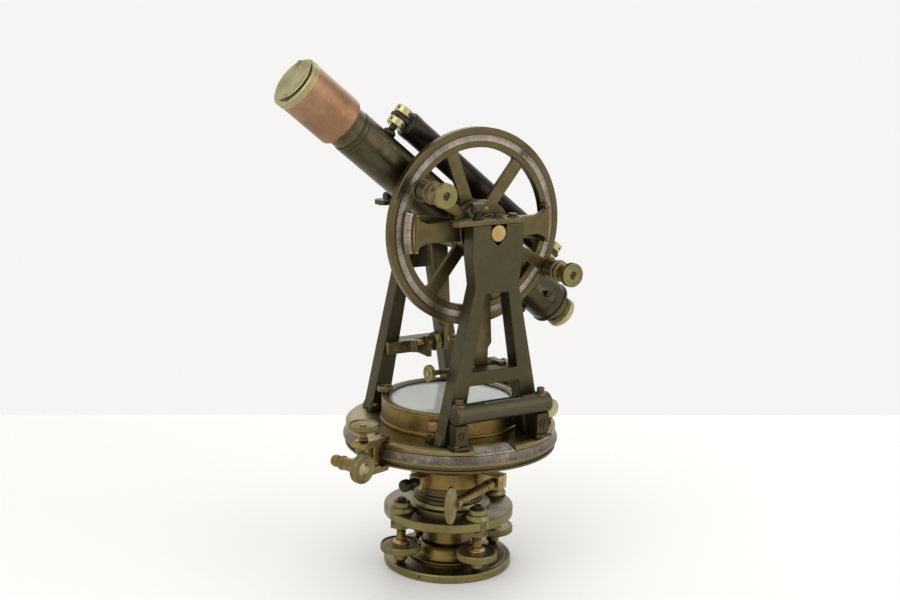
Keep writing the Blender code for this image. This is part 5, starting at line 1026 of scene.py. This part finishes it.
def makeTrunnion():
    size = {"hub": 20.2, "hubEnd": 21, "axis": 8.0, "pivot": 6.2, "shoulder": 47.7, "end": 61, "bore": 17.05}
    hubRadius, hubEnd, thick, pivot, shoulder, end, bore = size.values()
    axis = stand((0, 0, 0), (0, 1, 0), telescopeFrame)
    side = [(0, -end), (pivot - 0.4, -end), (pivot, 0.4 - end), (pivot, -shoulder), (thick, -shoulder),
            (thick, -23.4), (13, -22.6), (hubRadius, -hubEnd)]
    profile = side + [(r, -y) for r, y in reversed(side)]
    body = carve(lathe(profile, axis, 0.2), rod(bore, -40, 40, tubeAxis, 0, 96))
    fromAxis = axis.inverted()
    hub = (oliveCircle, lambda face: (fromAxis @ at(face)).xy.length > thick + 0.3)
    make("trunnionAxis", [(body, brightBrass, hub)], "telescope")


tubeWay = Vector((-math.cos(math.radians(elevation)), 0, math.sin(math.radians(elevation))))
oliveTube = metal("olive bronze tube", oliveLook, tubeAxis, marks=0.7)
greyEnd = metal("grey end plate", silverLook, base=(0.20, 0.20, 0.17), dark=(0.13, 0.13, 0.11), spots=0.3)
makeTelescope()
makeObjective()
makeCap()
makeEyepiece()
makeFocus()
makeTubeLevel()
makeTrunnion()
print("telescope done")


# vertical circle, index and magnifiers


def makeCircle():
    size = {"radius": 74.5, "inner": 59.5, "back": 23.9, "face": 30.2, "silverLow": 64.3, "silverHigh": 68.7,
            "hub": 20, "bore": 8.3, "screws": 14.0}
    radius, inner, back, face, silverLow, silverHigh, hubEdge, bore, screws = size.values()
    profile = [(inner, back)] + chamfered(radius, back, face, 0.5, 0.6)
    profile += [(70.2, face), (69.0, face - 0.5), (64.2, face - 0.5), (63.8, 30.1), (inner + 0.4, 30.1),
                (inner, face - 0.5)]
    rim = lathe(profile, circleAxis, 0.12)
    divided = ring(silverLow, silverHigh, 29.0, 29.95, circleAxis, 0.1, 144)
    parts = [(rim, oliveCircle), (divided, silverCircle)]
    # each spoke widens a little into the rim
    arm = [(-61, -6.4), (-57, -5.0), (57, -5.0), (61, -6.4), (61, 6.4), (57, 5.0), (-57, 5.0), (-61, 6.4)]
    for turn in (30, 90, 150):
        parts.append((wall(arm, -28.9, -24.9, telescopeFrame @ turned(turn, "Y"), 0.5), oliveCircle))
    hub = lathe([(bore, back), (hubEdge, back), (hubEdge, 29.0), (18.6, 29.2), (18.0, face), (bore, face)],
                circleAxis)
    bead = lathe([(17.2, 30.0), (17.5, face), (18.2, face), (18.9, 29.3), (19.6, 29.3), (hubEdge, 28.6),
                  (17.2, 28.6)], circleAxis, 0)
    parts += [(hub, oliveCircle), (bead, brassCircle)]
    for turn in (0, 90, 180, 270):
        parts.append((slotScrew(circleAxis @ turned(turn) @ moved(screws, 0, 29.9), 2.0, 1.0, 30), brass))
    make("verticalCircle", parts, "telescope")


def makeIndex():
    size = {"hub": 21.5, "bore": 8.3, "back": 34.0, "front": 42.0, "reach": 64.0, "arc": 28, "screws": 15.0}
    hubEdge, bore, back, front, reach, arc, screws = size.values()
    hub = lathe([(bore, back)] + chamfered(hubEdge, back, front, 0.5, 0.6) + [(bore, front)], indexAxis)
    parts = [(hub, oliveIndex)]
    bow = [(18, -8.0), (48, -7.2), (54, -9.4), (58.6, -14.6), (58.6, 14.6), (54, 9.4), (48, 7.2), (18, 8.0)]
    toFace = indexAxis.inverted().to_3x3()
    plate = (silverIndex, lambda face: (toFace @ face.normal).z > 0.3)
    for hand, middle in ((-1, 180), (1, 0)):
        arm = wall([(hand * x, z) for x, z in bow], -41.0, -34.6, pivotFrame, 0.8)
        start = middle - arc / 2
        backing = sector([(57.0, 31.6), (60.2, 31.6), (60.2, 40.0), (57.0, 40.0)], start, arc, indexAxis)
        scale = sector([(58.4, 34.2), (reach - 0.4, 31.3), (reach, 31.3), (reach, 32.6), (60.2, 36.4),
                        (58.4, 36.4)], start, arc, indexAxis, 0.15)
        parts += [(arm, olive), (backing, brass), (scale, brass, plate)]
    half = [(6, -17), (6, -40), (9, -87), (6, -91), (6, -109)]
    tail = half + [(-x, z) for x, z in reversed(half)]
    parts.append((wall(tail, -front, -back, pivotFrame, 0.8), olive))
    for y, turn in ((screws, 15), (-screws, 75)):
        parts.append((slotScrew(indexAxis @ moved(0, y, front - 0.2), 2.2, 1.2, turn), brass))
    make("indexFrame", parts, "index")


def clipShaft(place, end):
    return lathe([(0, 0), (1.3, 0), (2.0, 0.8), (2.0, end), (0, end)], place, 0.15)


def makeClipScrews():
    size = {"x": 7.8, "y": -38, "z": 168.5, "head": 6.5, "ball": 4.4}
    x, y, z, rim, bead = size.values()
    left = stand((-x, y, z), (-1, 0, 0))
    profile = [(1.5, 33.2)] + chamfered(rim, 33.2, 37.2, 0.6, 0.6)
    profile += [(4.6, 37.2), (4.0, 36.4), (0, 36.4), (0, 33.2)]
    head = lathe(profile, left, 0.15, 84, rim - 0.2)
    collar = ring(1.8, 3.6, 12.5, 15.5, left, 0.2)
    pin = slotScrew(left @ moved(0, 0, 36.3), 1.6, 0.9, 60)
    parts = [(clipShaft(left, 33.6), brass), (head, plateEdge), (collar, brass), (pin, paleBrass)]
    make("clipScrewLeft", parts, "clip_left")
    right = stand((x, y, z), (1, 0, 0))
    parts = [(clipShaft(right, 12.5), brass), (ball(bead, 14.8, right), paleBrass)]
    make("clipScrewRight", parts, "clip_right")


def makeMagnifiers():
    size = {"reach": 65, "waist": 20, "eye": 8.6, "eyeBore": 6.0, "back": 43.7, "front": 46.7, "hub": 12.3,
            "bore": 8.3, "disc": 9.2}
    reach, waist, eyeEdge, eyeBore, back, front, hubEdge, bore, disc = size.values()
    axis = stand((0, 0, 0), (0, -1, 0), magnifierFrame)
    half = [(-reach, 5.0), (-waist, 3.6), (waist, 3.6), (reach, 5.0)]
    bar = wall([(x, -z) for x, z in half] + half[::-1], -front, -back, magnifierFrame, 0.5)
    hub = lathe([(bore, 43.2), (hubEdge - 0.3, 43.2), (hubEdge, 43.5), (hubEdge, 46.9),
                 (hubEdge - 0.5, 47.2), (bore, 47.2)], axis, 0.15)
    holes = [rod(eyeBore, 40, 50, axis @ moved(x, 0, 0), 0) for x in (-reach, reach)]
    holes.append(rod(bore, 40, 50, axis, 0))
    parts = [(carve(bar, *holes), olive), (hub, olive)]
    for x in (-reach, reach):
        profile = [(eyeBore, back)] + chamfered(eyeEdge, back, front, 0.2, 0.2) + [(eyeBore, front)]
        eye = lathe(profile, axis @ moved(x, 0, 0), 0.1)
        parts.append((eye, olive))
    make("magnifierArm", parts, "magnifier_bar")
    for name, hand, body in (("Left", -1, "magnifier_a"), ("Right", 1, "magnifier_b")):
        place = stand((hand * reach, -back, 0), (0, -1, 0), magnifierFrame)
        barrel = lathe([(0, 0), (5.7, 0), (5.7, 3.3), (7.2, 3.3), (7.2, 13.8), (8.2, 14.3), (8.5, 14.6),
                        (8.5, 16.2), (8.2, 16.5), (7.2, 16.9), (7.2, 18.6), (7.6, 18.9), (7.6, 20.0),
                        (6.8, 20.4), (6.4, 21.4), (6.4, 28.9), (0, 28.9)], place, 0.12)
        cup = lathe([(0, 28.4), (7.0, 28.4), (disc - 0.4, 29.6), (disc, 30.2), (disc, 33.8),
                     (disc - 0.5, 34.5), (disc - 1, 34.7), (7.6, 34.6), (3.4, 34.9), (3.0, 34.6),
                     (2.3, 33.2), (0, 33.2)], place, 0.12, 120, disc - 0.15)
        # the lens is made black as painted shade, for the dark inside seen through the magnifier
        lens = lathe([(0, 32.6), (2.6, 32.9), (2.6, 33.4), (1.4, 33.75), (0, 33.85)], place, 0)
        fromAxis = place.inverted()
        collar = (brass, lambda face: (fromAxis @ at(face)).z > 20.2)
        make(f"magnifier{name}", [(barrel, oliveMilled, collar), (cup, plateEdge), (lens, black)], body)


def makeAxisClamp():
    size = {"near": 24.0, "far": 33.0, "middle": 28.5, "collar": 17, "clampZ": 17.5, "tangentZ": -101,
            "tip": 3.8, "headTip": 14.2}
    near, far, middle, collarEdge, clampZ, tangentZ, tip, headTip = size.values()
    back = stand((0, 0, 0), (0, 1, 0), pivotFrame)
    collar = lathe([(8.3, near)] + chamfered(collarEdge, near, far, 0.6, 0.6) + [(8.3, far)], back)
    arm = wall([(-8, -10), (8, -10), (13.5, -86), (11.2, -88), (11.2, -108), (6.8, -108), (6.8, -88),
                (3.5, -86)], near, far, pivotFrame, 0.7)
    arm = carve(arm, rod(2.6, -12, 12, stand((9, middle, tangentZ), (1, 0, 0), pivotFrame), 0))
    lug = block((-8, 24.2, 12), (8, 32.8, 22.5), pivotFrame, 0.8)
    lug = carve(lug, rod(2.3, -12, 12, stand((0, middle, clampZ), (1, 0, 0), pivotFrame), 0))
    make("axisClampArm", [(collar, olive), (arm, olive), (lug, olive)], "axis_clamp")
    screw = lathe([(0, -10), (1.4, -10), (2.0, -9.2), (2.0, 37), (3.2, 37), (3.6, 37.6), (3.6, 45.4),
                   (3.1, 46), (0, 46)], stand((0, middle, clampZ), (-1, 0, 0), pivotFrame), 0.15)
    make("axisClampScrew", [(screw, black)], "axis_clamp_thumb")
    place = stand((0, middle, pivotHeight + tangentZ), (1, 0, 0))
    shaft = lathe([(0, tip - 18), (1.5, tip - 18), (2.0, tip - 17.3), (2.0, headTip + 1), (0, headTip + 1)],
                  place, 0.15)
    profile = [(1.8, tip - 4.6)] + chamfered(7.5, tip - 4.6, tip, 0.7, 0.7) + [(1.8, tip)]
    head = lathe(profile, place, 0.15, 96, 7.3)
    make("telescopeTangent", [(shaft, brass), (head, plateEdge), (ball(4.3, headTip + 4.3, place), brass)],
         "vertical_tangent", "telescope_tangent_screw")
    plate = plank([(-32.5, 42.9), (-12.5, 42.9), (-7.6, 39.6), (-7.6, 23.8), (-3.8, 23.8), (-3.8, 43.0),
                   (-9.6, 47.7), (-32.5, 47.7)], 162.5, 172.5, still, 0.6)
    eye = rod(5.4, -7.9, -3.5, stand((0, middle, 173.3), (1, 0, 0)), 0.5)
    parts = [(carve(shape, rod(2.3, -15, 2, place, 0)), olive) for shape in (plate, eye)]
    for x in (-27, -18):
        parts.append((slotScrew(stand((x, 43.0, 167.5), (0, -1, 0)), 2.1, 1.1, 35), brass))
    make("tangentBracket", parts, "alidade")


oliveIndex = metal("olive bronze index", oliveLook, indexAxis, marks=0.7)
oliveMilled = metal("olive bronze milled", oliveLook, base=(0.16, 0.135, 0.07))
makeCircle()
makeIndex()
makeClipScrews()
makeMagnifiers()
makeAxisClamp()
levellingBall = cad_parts["levelling_ball"].data
levellingBall.materials.clear()
levellingBall.materials.append(steel)
print("circle, index and clamps done")


# floor, light and camera, in metres


def makeFloor():
    size = {"width": 3.0, "depth": 1.6, "thick": 0.03, "top": -0.0002, "behind": 0.40, "skew": 4.4}
    width, depth, thick, top, behind, skew = size.values()
    look = Vector((0.51511, 0.82952, 0)).normalized()
    bm = bmesh.new()
    bmesh.ops.create_cube(bm, size=1)
    bmesh.ops.scale(bm, verts=bm.verts[:], vec=(width, depth, thick))
    bmesh.ops.translate(bm, verts=bm.verts[:], vec=(0, -depth / 2, top - thick / 2))
    facing = Matrix.Rotation(math.atan2(look.y, look.x) - math.pi / 2 + math.radians(skew), 4, "Z")
    bm.transform(moved(look.x * behind, look.y * behind, 0) @ facing)
    floor = linked("floor", meshOf(bm, "floor"))
    paint, tree, shader, vector = newMaterial("floor paint")
    tone = blendColours(tree, noise(tree, vector, 4.0), opaque((0.862, 0.862, 0.857)),
                        opaque((0.882, 0.882, 0.877)))
    tree.links.new(tone, shader["Base Color"])
    shader["Roughness"].default_value = 0.6
    floor.data.materials.append(paint)


def makeLight():
    world = bpy.data.worlds.new("studio")
    bpy.context.scene.world = world
    world.use_nodes = True
    tree = world.node_tree
    seen = tree.nodes.new("ShaderNodeLightPath").outputs["Is Camera Ray"]
    sky = blendColours(tree, seen, opaque((0.82, 0.81, 0.79)), opaque((0.925, 0.913, 0.898)))
    tree.links.new(sky, tree.nodes["Background"].inputs["Color"])
    lights = {"key": ((-1.2, -0.6, 1.5), 10), "fill": ((0.9, -1.3, 0.9), 6), "back": ((0.8, 1.0, 1.3), 7)}
    for name, (place, power) in lights.items():
        lamp = bpy.data.lights.new(name, "AREA")
        lamp.size = 1.4
        lamp.energy = power
        softbox = linked(name, lamp)
        softbox.location = place
        aimed = Vector((0, 0, 0.2)) - Vector(place)
        softbox.rotation_euler = aimed.to_track_quat("-Z", "Y").to_euler()


def makeCamera():
    view = {"place": (-0.6085, -0.9751, 0.4666), "look": (0.51511, 0.82952, -0.21577), "lens": 61.05,
            "roll": 1.335}
    lens = bpy.data.cameras.new("camera")
    lens.lens = view["lens"]
    lens.sensor_width = 36
    camera = linked("camera", lens)
    look = Vector(view["look"]).normalized()
    right = look.cross(Vector((0, 0, 1))).normalized()
    up = right.cross(look)
    roll = math.radians(view["roll"])
    across = right * math.cos(roll) + up * math.sin(roll)
    upward = up * math.cos(roll) - right * math.sin(roll)
    camera.matrix_world = moved(*view["place"]) @ Matrix((across, upward, -look)).transposed().to_4x4()
    bpy.context.scene.camera = camera


makeFloor()
makeLight()
makeCamera()
bpy.context.scene.view_settings.view_transform = "Standard"
print("studio ready")
